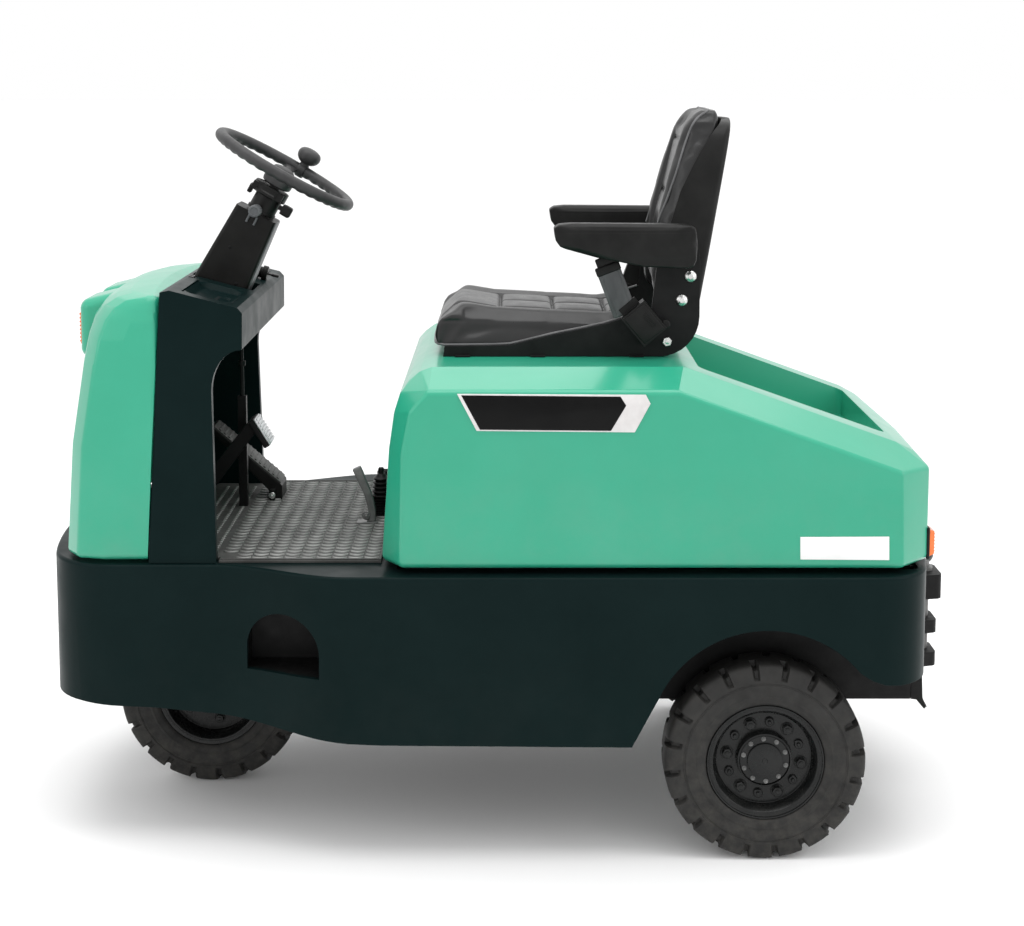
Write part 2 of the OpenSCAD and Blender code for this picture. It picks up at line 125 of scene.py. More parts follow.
def surface(name, dark, light, rough=(0.35, 0.5), metal=0.0, spec=0.5, coat=0.0, coat_rough=0.08, grain=9.0, contrast=(0.35, 0.65),
            bump=0.1, bump_scale=300.0, bump_dist=0.0004, kind="noise", stretch=(1, 1, 1), dust=None, emit=None, ior=None, trans=0.0):
    m = bpy.data.materials.new(name)
    m.use_nodes = True
    nt = m.node_tree
    b = nt.nodes["Principled BSDF"]
    b.inputs["Metallic"].default_value = metal
    b.inputs["Specular IOR Level"].default_value = spec
    b.inputs["Coat Weight"].default_value = coat
    b.inputs["Coat Roughness"].default_value = coat_rough
    if ior:
        b.inputs["IOR"].default_value = ior
    if trans:
        b.inputs["Transmission Weight"].default_value = trans
    tc = nt.nodes.new("ShaderNodeTexCoord")
    mp = node(nt, "ShaderNodeMapping", Scale=stretch)
    nt.links.new(tc.outputs["Object"], mp.inputs["Vector"])
    n1 = node(nt, "ShaderNodeTexNoise", Scale=grain, Detail=6.0, Roughness=0.62)
    nt.links.new(mp.outputs[0], n1.inputs["Vector"])
    r1 = node(nt, "ShaderNodeMapRange", From_Min=contrast[0], From_Max=contrast[1])
    nt.links.new(n1.outputs[0], r1.inputs["Value"])
    mix = nt.nodes.new("ShaderNodeMix")
    mix.data_type = "RGBA"
    mix.inputs[6].default_value = (*dark, 1)
    mix.inputs[7].default_value = (*light, 1)
    nt.links.new(r1.outputs[0], mix.inputs[0])
    colour = mix.outputs[2]
    if dust:
        # dust that thins out with height: colour, strength, low z, high z
        dc, ds, z0, z1 = dust
        sep = nt.nodes.new("ShaderNodeSeparateXYZ")
        nt.links.new(tc.outputs["Object"], sep.inputs[0])
        rz = node(nt, "ShaderNodeMapRange", From_Min=z1, From_Max=z0, To_Min=0.0, To_Max=ds)
        nt.links.new(sep.outputs[2], rz.inputs["Value"])
        nd = node(nt, "ShaderNodeTexNoise", Scale=grain * 2.3, Detail=8.0, Roughness=0.7)
        nt.links.new(tc.outputs["Object"], nd.inputs["Vector"])
        rd = node(nt, "ShaderNodeMapRange", From_Min=0.42, From_Max=0.7)
        nt.links.new(nd.outputs[0], rd.inputs["Value"])
        mul = nt.nodes.new("ShaderNodeMath")
        mul.operation = "MULTIPLY"
        nt.links.new(rz.outputs[0], mul.inputs[0])
        nt.links.new(rd.outputs[0], mul.inputs[1])
        mx2 = nt.nodes.new("ShaderNodeMix")
        mx2.data_type = "RGBA"
        mx2.inputs[7].default_value = (*dc, 1)
        nt.links.new(colour, mx2.inputs[6])
        nt.links.new(mul.outputs[0], mx2.inputs[0])
        colour = mx2.outputs[2]
    nt.links.new(colour, b.inputs["Base Color"])
    n2 = node(nt, "ShaderNodeTexNoise", Scale=grain * 3.1, Detail=5.0, Roughness=0.6)
    nt.links.new(mp.outputs[0], n2.inputs["Vector"])
    r2 = node(nt, "ShaderNodeMapRange", From_Min=0.3, From_Max=0.7, To_Min=rough[0], To_Max=rough[1])
    nt.links.new(n2.outputs[0], r2.inputs["Value"])
    nt.links.new(r2.outputs[0], b.inputs["Roughness"])
    if kind == "leather":
        t = node(nt, "ShaderNodeTexVoronoi", Scale=bump_scale)
        t.feature = "DISTANCE_TO_EDGE"
        wob = node(nt, "ShaderNodeTexNoise", Scale=bump_scale * 0.5, Detail=2.0)
        nt.links.new(tc.outputs["Object"], wob.inputs["Vector"])
        add = nt.nodes.new("ShaderNodeVectorMath")
        add.operation = "MULTIPLY_ADD"
        add.inputs[1].default_value = (0.004, 0.004, 0.004)
        nt.links.new(wob.outputs[1], add.inputs[0])
        nt.links.new(tc.outputs["Object"], add.inputs[2])
        nt.links.new(add.outputs[0], t.inputs["Vector"])
        rr = node(nt, "ShaderNodeMapRange", From_Min=0.0, From_Max=0.18)
        nt.links.new(t.outputs[0], rr.inputs["Value"])
        height = rr.outputs[0]
    else:
        t = node(nt, "ShaderNodeTexNoise", Scale=bump_scale, Detail=3.0, Roughness=0.55)
        nt.links.new(mp.outputs[0], t.inputs["Vector"])
        height = t.outputs[0]
    bp = node(nt, "ShaderNodeBump", Strength=bump, Distance=bump_dist)
    nt.links.new(height, bp.inputs["Height"])
    nt.links.new(bp.outputs[0], b.inputs["Normal"])
    if emit:
        b.inputs["Emission Color"].default_value = (*emit[0], 1)
        b.inputs["Emission Strength"].default_value = emit[1]
    return m


GREY = (0.16, 0.15, 0.13)
M = {
    "green": surface("green_paint", (0.0185, 0.312, 0.188), (0.0230, 0.332, 0.204), rough=(0.28, 0.36), spec=0.35, coat=0.42, coat_rough=0.16, grain=3.0, bump=0.05, bump_scale=420.0, dust=((0.20, 0.30, 0.25), 0.14, 0.60, 0.95)),
    "dark": surface("dark_paint", (0.0030, 0.0098, 0.0098), (0.0044, 0.0124, 0.0124), rough=(0.28, 0.40), spec=0.042, coat=0.01, coat_rough=0.2, grain=4.0, bump=0.06, bump_scale=420.0, dust=((0.022, 0.026, 0.025), 0.14, 0.24, 0.50)),
    "steel_black": surface("black_steel", (0.004, 0.004, 0.0042), (0.009, 0.009, 0.0092), rough=(0.40, 0.58), spec=0.16, grain=14.0, bump=0.12, bump_scale=500.0, dust=(GREY, 0.08, 0.1, 0.5)),
    "mat": surface("rubber_mat", (0.040, 0.040, 0.038), (0.072, 0.072, 0.069), rough=(0.45, 0.65), spec=0.35, grain=11.0, bump=0.2, bump_scale=700.0),
    # lighter colour of the mat's ribs and dots: painted highlight on their raised tops
    "mat_rib": surface("rubber_mat_painted_highlight", (0.17, 0.17, 0.165), (0.32, 0.32, 0.31), rough=(0.34, 0.5), spec=0.5, grain=16.0, bump=0.15, bump_scale=900.0),
    "grey_plastic": surface("grey_plastic", (0.0045, 0.0044, 0.0040), (0.0085, 0.0083, 0.0078), rough=(0.34, 0.46), spec=0.15, grain=18.0, bump=0.18, bump_scale=1500.0, bump_dist=0.0002),
    "lever_steel": surface("lever_steel", (0.11, 0.11, 0.108), (0.19, 0.19, 0.187), rough=(0.32, 0.5), metal=0.3, spec=0.4, grain=26.0, bump=0.12, bump_scale=900.0),
    # grey of the column lever, also used as painted light on the shroud's rear face
    "lever_grey_and_painted_light": surface("lever_grey_and_painted_light", (0.07, 0.075, 0.08), (0.10, 0.105, 0.11), rough=(0.4, 0.5), spec=0.4, grain=20.0, bump=0.1, bump_scale=1200.0),
    "black_plastic": surface("black_plastic", (0.0048, 0.0048, 0.0046), (0.0095, 0.0095, 0.0092), rough=(0.34, 0.48), spec=0.17, grain=20.0, bump=0.2, bump_scale=1400.0, bump_dist=0.0002),
    "wheel_rubber": surface("wheel_grip", (0.020, 0.020, 0.0205), (0.032, 0.032, 0.0325), rough=(0.42, 0.55), spec=0.4, grain=24.0, bump=0.18, bump_scale=1500.0, bump_dist=0.0002),
    "zinc": surface("zinc_steel", (0.42, 0.41, 0.39), (0.58, 0.57, 0.54), rough=(0.28, 0.45), metal=1.0, grain=26.0, bump=0.08, bump_scale=900.0, stretch=(1, 1, 4)),
    "bolt": surface("bright_bolt", (0.55, 0.55, 0.54), (0.74, 0.74, 0.73), rough=(0.2, 0.34), metal=1.0, grain=60.0, bump=0.05, bump_scale=1500.0),
    "chrome": surface("chrome", (0.72, 0.73, 0.74), (0.82, 0.83, 0.84), rough=(0.08, 0.16), metal=1.0, grain=30.0, bump=0.02, bump_scale=800.0),
    "glass": surface("lamp_glass", (0.62, 0.64, 0.66), (0.72, 0.74, 0.76), rough=(0.05, 0.12), spec=0.5, coat=0.6, coat_rough=0.03, grain=30.0, bump=0.05, bump_scale=300.0),
    "amber": surface("amber_lens", (0.72, 0.12, 0.008), (0.85, 0.17, 0.012), rough=(0.10, 0.18), spec=0.5, coat=0.5, coat_rough=0.04, grain=30.0, bump=0.15, bump_scale=260.0, bump_dist=0.001),
    "red_lens": surface("red_lens", (0.70, 0.12, 0.008), (0.80, 0.16, 0.012), rough=(0.10, 0.18), spec=0.5, coat=0.5, coat_rough=0.04, grain=30.0, bump=0.15, bump_scale=260.0, bump_dist=0.001),
    "battery": surface("battery_case", (0.018, 0.018, 0.02), (0.03, 0.03, 0.032), rough=(0.5, 0.65), spec=0.3, grain=8.0, bump=0.2, bump_scale=300.0),
    "vinyl": surface("vinyl", (0.0066, 0.0067, 0.0069), (0.0110, 0.0111, 0.0114), rough=(0.27, 0.37), spec=0.40, grain=12.0, bump=0.09, bump_scale=620.0, bump_dist=0.0003, kind="leather"),
    "piping": surface("piping", (0.085, 0.085, 0.088), (0.12, 0.12, 0.123), rough=(0.4, 0.5), spec=0.4, grain=30.0, bump=0.1, bump_scale=900.0),
    "rim": surface("rim_paint", (0.0045, 0.005, 0.005), (0.0085, 0.009, 0.009), rough=(0.18, 0.30), spec=0.26, grain=16.0, bump=0.1, bump_scale=420.0, dust=(GREY, 0.06, 0.0, 0.35)),
    "tyre": surface("tyre", (0.0125, 0.0122, 0.0118), (0.0215, 0.0210, 0.0200), rough=(0.55, 0.72), spec=0.28, grain=17.0, bump=0.2, bump_scale=520.0, bump_dist=0.0004, dust=((0.075, 0.070, 0.060), 0.5, 0.0, 0.45)),
    "white": surface("white_plate", (0.80, 0.80, 0.79), (0.86, 0.86, 0.855), rough=(0.28, 0.38), spec=0.4, grain=20.0, bump=0.03, bump_scale=500.0),
    "silver": surface("silver_strip", (0.60, 0.58, 0.575), (0.68, 0.665, 0.66), rough=(0.3, 0.4), metal=0.0, spec=0.45, grain=30.0, bump=0.03, bump_scale=700.0),
    "gloss_black": surface("gloss_black", (0.0015, 0.0015, 0.0016), (0.003, 0.003, 0.003), rough=(0.16, 0.24), spec=0.12, grain=20.0, bump=0.03, bump_scale=500.0),
    "webbing": surface("webbing", (0.055, 0.057, 0.06), (0.085, 0.087, 0.09), rough=(0.5, 0.65), spec=0.3, grain=30.0, bump=0.35, bump_scale=900.0, stretch=(1, 1, 0.4)),
    "pad_silver": surface("pad_alloy", (0.50, 0.51, 0.52), (0.66, 0.67, 0.68), rough=(0.28, 0.4), metal=0.85, grain=30.0, bump=0.06, bump_scale=800.0),
    "red_plastic": surface("red_plastic", (0.30, 0.02, 0.015), (0.38, 0.03, 0.02), rough=(0.35, 0.45), spec=0.4, grain=30.0, bump=0.05, bump_scale=800.0),
}

floor_m = surface("pale_floor", (0.93, 0.93, 0.93), (0.945, 0.945, 0.945), rough=(0.6, 0.7), spec=0.12, grain=0.6, bump=0.01, bump_scale=60.0)
fm = bpy.data.meshes.new("floor")
fm.from_pydata([(-90, -90, 0), (90, -90, 0), (90, 90, 0), (-90, 90, 0)], [], [(0, 1, 2, 3)])
floor = link(bpy.data.objects.new("floor", fm))
floor.data.materials.append(floor_m)

# ---------------------------------------------------------------- mesh tools


def shade(me, angle=35):
    me.polygons.foreach_set("use_smooth", [True] * len(me.polygons))
    me.set_sharp_from_angle(angle=RAD(angle))


def at(origin, axis, ref=None):
    """Matrix whose local z is axis, placed at origin (mm, drawing frame)."""
    z = Vector(axis).normalized()
    x = Vector(ref) if ref is not None else (Vector((1, 0, 0)) if abs(z.x) < 0.9 else Vector((0, 1, 0)))
    x = (x - z * x.dot(z)).normalized()
    y = z.cross(x)
    m = Matrix.Identity(4)
    for r in range(3):
        m[r][0], m[r][1], m[r][2], m[r][3] = x[r], y[r], z[r], origin[r]
    return m


class Kit:
    """Collects small shapes, in mm in the drawing's frame, into one mesh."""

    def __init__(self):
        self.v, self.f = [], []

    def add(self, verts, faces, m=None):
        k = len(self.v)
        self.v += [tuple(m @ Vector(p)) if m is not None else tuple(p) for p in verts]
        self.f += [tuple(i + k for i in f) for f in faces]
        return self

    def bm(self, bm, m=None):
        bm.verts.index_update()
        self.add([v.co.copy() for v in bm.verts], [[v.index for v in f.verts] for f in bm.faces], m)
        bm.free()
        return self

    def box(self, lo, hi, r=1.5, seg=2, m=None):
        b = bmesh.new()
        bmesh.ops.create_cube(b, size=1.0)
        lo, hi = Vector(lo), Vector(hi)
        for v in b.verts:
            v.co = Vector([lo[i] + (v.co[i] + 0.5) * (hi[i] - lo[i]) for i in range(3)])
        if r:
            bmesh.ops.bevel(b, geom=b.edges[:], offset=min(r, min(hi - lo) * 0.48), segments=seg, profile=0.5, affect="EDGES")
        return self.bm(b, m)

    def prism(self, pts, y0, y1, r=1.5, seg=2, m=None):
        """An outline in X and Z, carried from y0 to y1."""
        b = bmesh.new()
        vs = [b.verts.new((p[0], y0, p[1])) for p in pts]
        f = b.faces.new(vs)
        e = bmesh.ops.extrude_face_region(b, geom=[f])
        for g in e["geom"]:
            if isinstance(g, bmesh.types.BMVert):
                g.co.y = y1
        bmesh.ops.recalc_face_normals(b, faces=b.faces[:])
        if r:
            bmesh.ops.bevel(b, geom=[e for e in b.edges if len(e.link_faces) == 2 and e.calc_face_angle(0) > 0.5], offset=r, segments=seg, profile=0.5, affect="EDGES")
        return self.bm(b, m)

    def lathe(self, prof, m, n=32, phase=0.0):
        v, f, rings = [], [], []
        for rad, h in prof:
            if rad < 1e-6:
                rings.append([len(v)])
                v.append((0, 0, h))
            else:
                rings.append(list(range(len(v), len(v) + n)))
                v += [(rad * math.cos(2 * math.pi * (i + phase) / n), rad * math.sin(2 * math.pi * (i + phase) / n), h) for i in range(n)]
        for a, b in zip(rings, rings[1:]):
            for i in range(n):
                j = (i + 1) % n
                if len(a) == 1 and len(b) == 1:
                    continue
                if len(a) == 1:
                    f.append((a[0], b[j], b[i]))
                elif len(b) == 1:
                    f.append((a[i], a[j], b[0]))
                else:
                    f.append((a[i], a[j], b[j], b[i]))
        return self.add(v, f, m)

    def tube(self, pts, r, n=8, closed=False):
        pts = [Vector(p) for p in pts]
        v, f = [], []
        ref = Vector((0.13, 0.77, 0.31)).normalized()
        for i, p in enumerate(pts):
            a = pts[i - 1] if (i or closed) else pts[i]
            b = pts[(i + 1) % len(pts)] if (i < len(pts) - 1 or closed) else pts[i]
            t = (b - a).normalized()
            x = (ref - t * ref.dot(t))
            x = x.normalized() if x.length > 1e-4 else t.orthogonal().normalized()
            ref = x
            y = t.cross(x)
            v += [p + (x * math.cos(2 * math.pi * k / n) + y * math.sin(2 * math.pi * k / n)) * r for k in range(n)]
        c = len(pts)
        for i in range(c if closed else c - 1):
            for k in range(n):
                a, b = i * n, ((i + 1) % c) * n
                f.append((a + k, a + (k + 1) % n, b + (k + 1) % n, b + k))
        if not closed:
            f.append(tuple(range(n - 1, -1, -1)))
            f.append(tuple(range((c - 1) * n, c * n)))
        return self.add(v, f)

    def hexbolt(self, p, axis, af=16, h=9, washer=14, phase=0.0):
        m = at(p, axis)
        if washer:
            self.lathe([(0, 0), (washer, 0), (washer, 1.4), (washer - 0.8, 2.2), (0, 2.2)], m, 24)
        R = af * 0.577
        self.lathe([(0, 1), (R, 1), (R, h - 1.2), (R * 0.88, h), (0, h)], m, 6, phase)
        self.lathe([(0, h - 1), (af * 0.28, h - 1), (af * 0.28, h + 2.2), (af * 0.2, h + 3.0), (0, h + 3.0)], m, 16)
        return self

    def dome(self, p, axis, r=11, h=7, socket=4.5):
        """Round-headed screw with a hexagon socket."""
        m = at(p, axis)
        prof = [(0, 0), (r, 0), (r, 1.2)] + [(r * math.cos(RAD(a)), 1.2 + (h - 1.2) * math.sin(RAD(a))) for a in (20, 40, 58)]
        self.lathe(prof + [(socket, h), (socket, h - 3), (0, h - 3)], m, 24)
        return self

    def done(self, name, mat, body, angle=35):
        me = bpy.data.meshes.new(name)
        me.from_pydata([tuple(WORLD @ Vector(p)) for p in self.v], [], self.f)
        b = bmesh.new()
        b.from_mesh(me)
        bmesh.ops.recalc_face_normals(b, faces=b.faces[:])
        b.to_mesh(me)
        b.free()
        me.materials.append(M[mat])
        shade(me, angle)
        o = link(bpy.data.objects.new(name, me))
        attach(o, body)
        return o


def dress(name, mat, bevel=0.0, seg=2, angle=30, split=40):
    """Finish of a CAD node: material, small edge rounds and clean shading."""
    if name not in nodes:
        return
    o = nodes[name]
    o.data.materials.clear()
    o.data.materials.append(M[mat])
    o.data.polygons.foreach_set("use_smooth", [True] * len(o.data.polygons))
    w = o.modifiers.new("weld", "WELD")
    w.merge_threshold = 1e-5
    if bevel:
        d = o.modifiers.new("planar", "DECIMATE")
        d.decimate_type = "DISSOLVE"
        d.angle_limit = RAD(0.4)
        b = o.modifiers.new("edges", "BEVEL")
        b.width = bevel
        b.segments = seg
        b.limit_method = "ANGLE"
        b.angle_limit = RAD(angle)
        b.use_clamp_overlap = True
    else:
        e = o.modifiers.new("split", "EDGE_SPLIT")
        e.split_angle = RAD(split)
    n = o.modifiers.new("normals", "WEIGHTED_NORMAL")
    n.weight = 60
    n.keep_sharp = True


def baked(o):
    return bpy.data.meshes.new_from_object(o.evaluated_get(bpy.context.evaluated_depsgraph_get()))


def apply_mods(o):
    me = baked(o)
    o.modifiers.clear()
    o.data = me
    return o


def coords(me):
    a = np.zeros(len(me.vertices) * 3)
    me.vertices.foreach_get("co", a)
    return a.reshape(-1, 3)


def put_coords(me, a):
    me.vertices.foreach_set("co", a.astype(np.float32).ravel())
    me.update()


def normals(me):
    a = np.zeros(len(me.vertices) * 3)
    me.vertices.foreach_get("normal", a)
    return a.reshape(-1, 3)


def soften(o, voxel, rounds=6, factor=0.5):
    m = o.modifiers.new("voxel", "REMESH")
    m.mode = "VOXEL"
    m.voxel_size = voxel
    apply_mods(o)
    s = o.modifiers.new("smooth", "SMOOTH")
    s.iterations = rounds
    s.factor = factor
    return apply_mods(o)


def inflate(o, pressure, cap, pins, frames=20):
    """Air pressure in a cloth skin, with the movement of each point capped (metres)."""
    rest = coords(o.data)
    g = o.vertex_groups.new(name="pin")
    g.add([int(i) for i in np.nonzero(pins)[0]], 1.0, "REPLACE")
    c = o.modifiers.new("cloth", "CLOTH")
    s = c.settings
    s.quality = 5
    s.mass = 0.3
    s.tension_stiffness = s.compression_stiffness = 12
    s.shear_stiffness = 5
    s.bending_stiffness = 0.6
    s.use_pressure = True
    s.uniform_pressure_force = pressure
    s.effector_weights.gravity = 0
    s.vertex_group_mass = "pin"
    c.point_cache.frame_start, c.point_cache.frame_end = 1, frames
    for f in range(1, frames + 1):
        scene.frame_set(f)
    got = coords(baked(o))
    o.modifiers.clear()
    o.vertex_groups.clear()
    scene.frame_set(1)
    d = got - rest
    n = np.linalg.norm(d, axis=1, keepdims=True)
    put_coords(o.data, rest + d * np.minimum(1.0, cap / np.maximum(n, 1e-9)))
    return o


def refine(o):
    s = o.modifiers.new("sub", "SUBSURF")
    s.levels = s.render_levels = 1
    return apply_mods(o)


def bump_at(x, c, w):
    return np.exp(-((x - c) / w) ** 2)


def gate(x, lo, hi, s):
    return 1 / (1 + np.exp(-(x - lo) / s)) / (1 + np.exp((x - hi) / s))


def surf(o):
    me = o.data
    return BVHTree.FromPolygons([v.co.copy() for v in me.vertices], [tuple(p.vertices) for p in me.polygons])


# ---------------------------------------------------------------- seat
def fit_box(o, lo, hi):
    c = coords(o.data)
    a, b = c.min(0), c.max(0)
    put_coords(o.data, np.array(lo) + (c - a) / (b - a) * (np.array(hi) - np.array(lo)))


def calm(o, rounds, factor=0.5):
    m = o.modifiers.new("smooth", "SMOOTH")
    m.iterations = rounds
    m.factor = factor
    return apply_mods(o)


def pad(t, p=0.32):
    return np.power(np.clip(4 * t * (1 - t), 0, 1), p)


def slab(name, prof, half):
    """Plain closed block with a side profile, mm, for the cloth to start from."""
    n = len(prof)
    me = bpy.data.meshes.new(name)
    f = [tuple(range(n)), tuple(reversed(range(n, 2 * n)))] + [(i, (i + 1) % n, n + (i + 1) % n, n + i) for i in range(n)]
    me.from_pydata([tuple(WORLD @ Vector((a, s * half, b))) for s in (-1, 1) for a, b in prof], [], f)
    b = bmesh.new()
    b.from_mesh(me)
    bmesh.ops.recalc_face_normals(b, faces=b.faces)
    b.to_mesh(me)
    b.free()
    return me


def seat_cushion():
    me = slab("seat_cushion_sewn", [(146, 1030), (160, 1038), (166, 1058), (165, 1088), (152, 1104), (118, 1111), (40, 1102), (-200, 1088), (-292, 1094), (-296, 1030)], 212)
    o = link(bpy.data.objects.new("seat_cushion_sewn", me))
    c = coords(me)
    lo, hi = c.min(0), c.max(0)
    mid = (lo + hi) / 2
    put_coords(me, mid + (c - mid) * np.array((0.97, 0.96, 0.88)))
    soften(o, 0.006, 6)
    z = coords(o.data)[:, 2]
    inflate(o, 4.0, 0.014, z < z.min() + 0.006)
    calm(o, 5)
    fit_box(o, ((-297 + OX) / 1000, -0.2168, 1.0286), ((164 + OX) / 1000, 0.2168, 1.1090))
    refine(o)
    c = coords(o.data)
    n = normals(o.data)
    x, y, zz = c[:, 0] * 1000 - OX, np.abs(c[:, 1]) * 1000, c[:, 2] * 1000
    topw = np.clip((n[:, 2] - 0.1) / 0.5, 0, 1)
    inner = gate(y, -1e3, 117, 1.6)
    run = gate(x, -290, 112, 5)
    dz = run * (-9.0 * bump_at(y, 120, 4.8) + 8.0 * bump_at(y, 166, 30))
    # sewn pads: one across the front, then pairs
    front = np.clip((x - 24) / (140 - 24), 0, 1)
    dz += inner * gate(x, 24, 190, 1.5) * 6.0 * np.power(np.clip(np.minimum(1, front * 5.0), 0, 1), 0.4) * pad(np.clip((y + 117) / 234, 0, 1), 0.25)
    for a, b in ((18, -92), (-98, -206), (-212, -296)):
        ty = np.clip((y - 1.5) / 114, 0, 1)
        dz += inner * gate(x, b, a, 1.2) * 6.5 * pad(np.clip((a - x) / (a - b), 0, 1)) * pad(ty)
    for g in (21, -95, -209):
        dz -= inner * 6.0 * bump_at(x, g, 4.2)
    dz -= gate(x, -290, 18, 2) * 3.0 * bump_at(y, 0, 4.0)
    dz += 4.0 * bump_at(x, 100, 40) * gate(y, -1e3, 178, 10)
    c[:, 2] += topw * dz / 1000
    c[:, 0] -= np.clip((y - 120) / 97, 0, 1) ** 2.5 * np.clip((x - 40) / 120, 0, 1) * 0.005
    side = np.clip(1 - np.abs(n[:, 2]) * 1.6, 0, 1)
    c -= n * (side * 2.4 * bump_at(zz, 1084 - 0.02 * (120 - x), 3.4) / 1000)[:, None]
    c[:, 1] = np.clip(c[:, 1], -0.2175, 0.2175)
    c[:, 2] = np.maximum(c[:, 2], 1.0284)
    c[:, 0] = np.maximum(c[:, 0], (-298 + OX) / 1000)
    put_coords(o.data, c)
    o.data.materials.clear()
    o.data.materials.append(M["vinyl"])
    shade(o.data, 60)
    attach(o, "hood")
    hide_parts("seat_cushion")
    tree = surf(o)

    def down(x0, y0, lift):
        hit = tree.ray_cast(Vector(((x0 + OX) / 1000, y0 / 1000, 1.4)), Vector((0, 0, -1)))[0]
        return (hit.x * 1000 - OX, hit.y * 1000, hit.z * 1000 + lift) if hit else None

    k = Kit()
    # sewn lines in the grooves
    for s in (-1, 1):
        k.tube([q for q in (down(x0, s * 120, 0.4) for x0 in np.linspace(110, -280, 60)) if q], 1.4, 6)
    k.tube([q for q in (down(x0, 0, 0.2) for x0 in np.linspace(16, -280, 50)) if q], 1.1, 6)
    for g in (21, -95, -209):
        k.tube([q for q in (down(g, y0, 0.3) for y0 in np.linspace(-117, 117, 40)) if q], 1.2, 6)
    k.done("seat_cushion_seams", "vinyl", "hood")
    # welt round the foot of the cushion, along the side plates and across the front
    k = Kit()
    line = [(139, 1034.5), (105, 1034.6), (70, 1035), (35, 1035.4), (0, 1037), (-25, 1042.5), (-45, 1047.5), (-90, 1058.5), (-150, 1070.5), (-205, 1082.5), (-255, 1098), (-299, 1112.5)]
    nose = []
    for yy in np.linspace(-190, 190, 36):
        hit = tree.ray_cast(Vector((0.4, yy / 1000, 1.0385)), Vector((-1, 0, 0)))[0]
        nose.append((hit.x * 1000 - OX + 1.0, yy, 1036.0))
    ring = [(a, -219.2, b) for a, b in reversed(line)] + [((139 + nose[0][0]) / 2 + 4, -208, 1035.2)] + nose + [((139 + nose[-1][0]) / 2 + 4, 208, 1035.2)] + [(a, 219.2, b) for a, b in line]
    k.tube(ring, 2.8, 8)
    k.done("seat_welt", "piping", "hood")
    return o


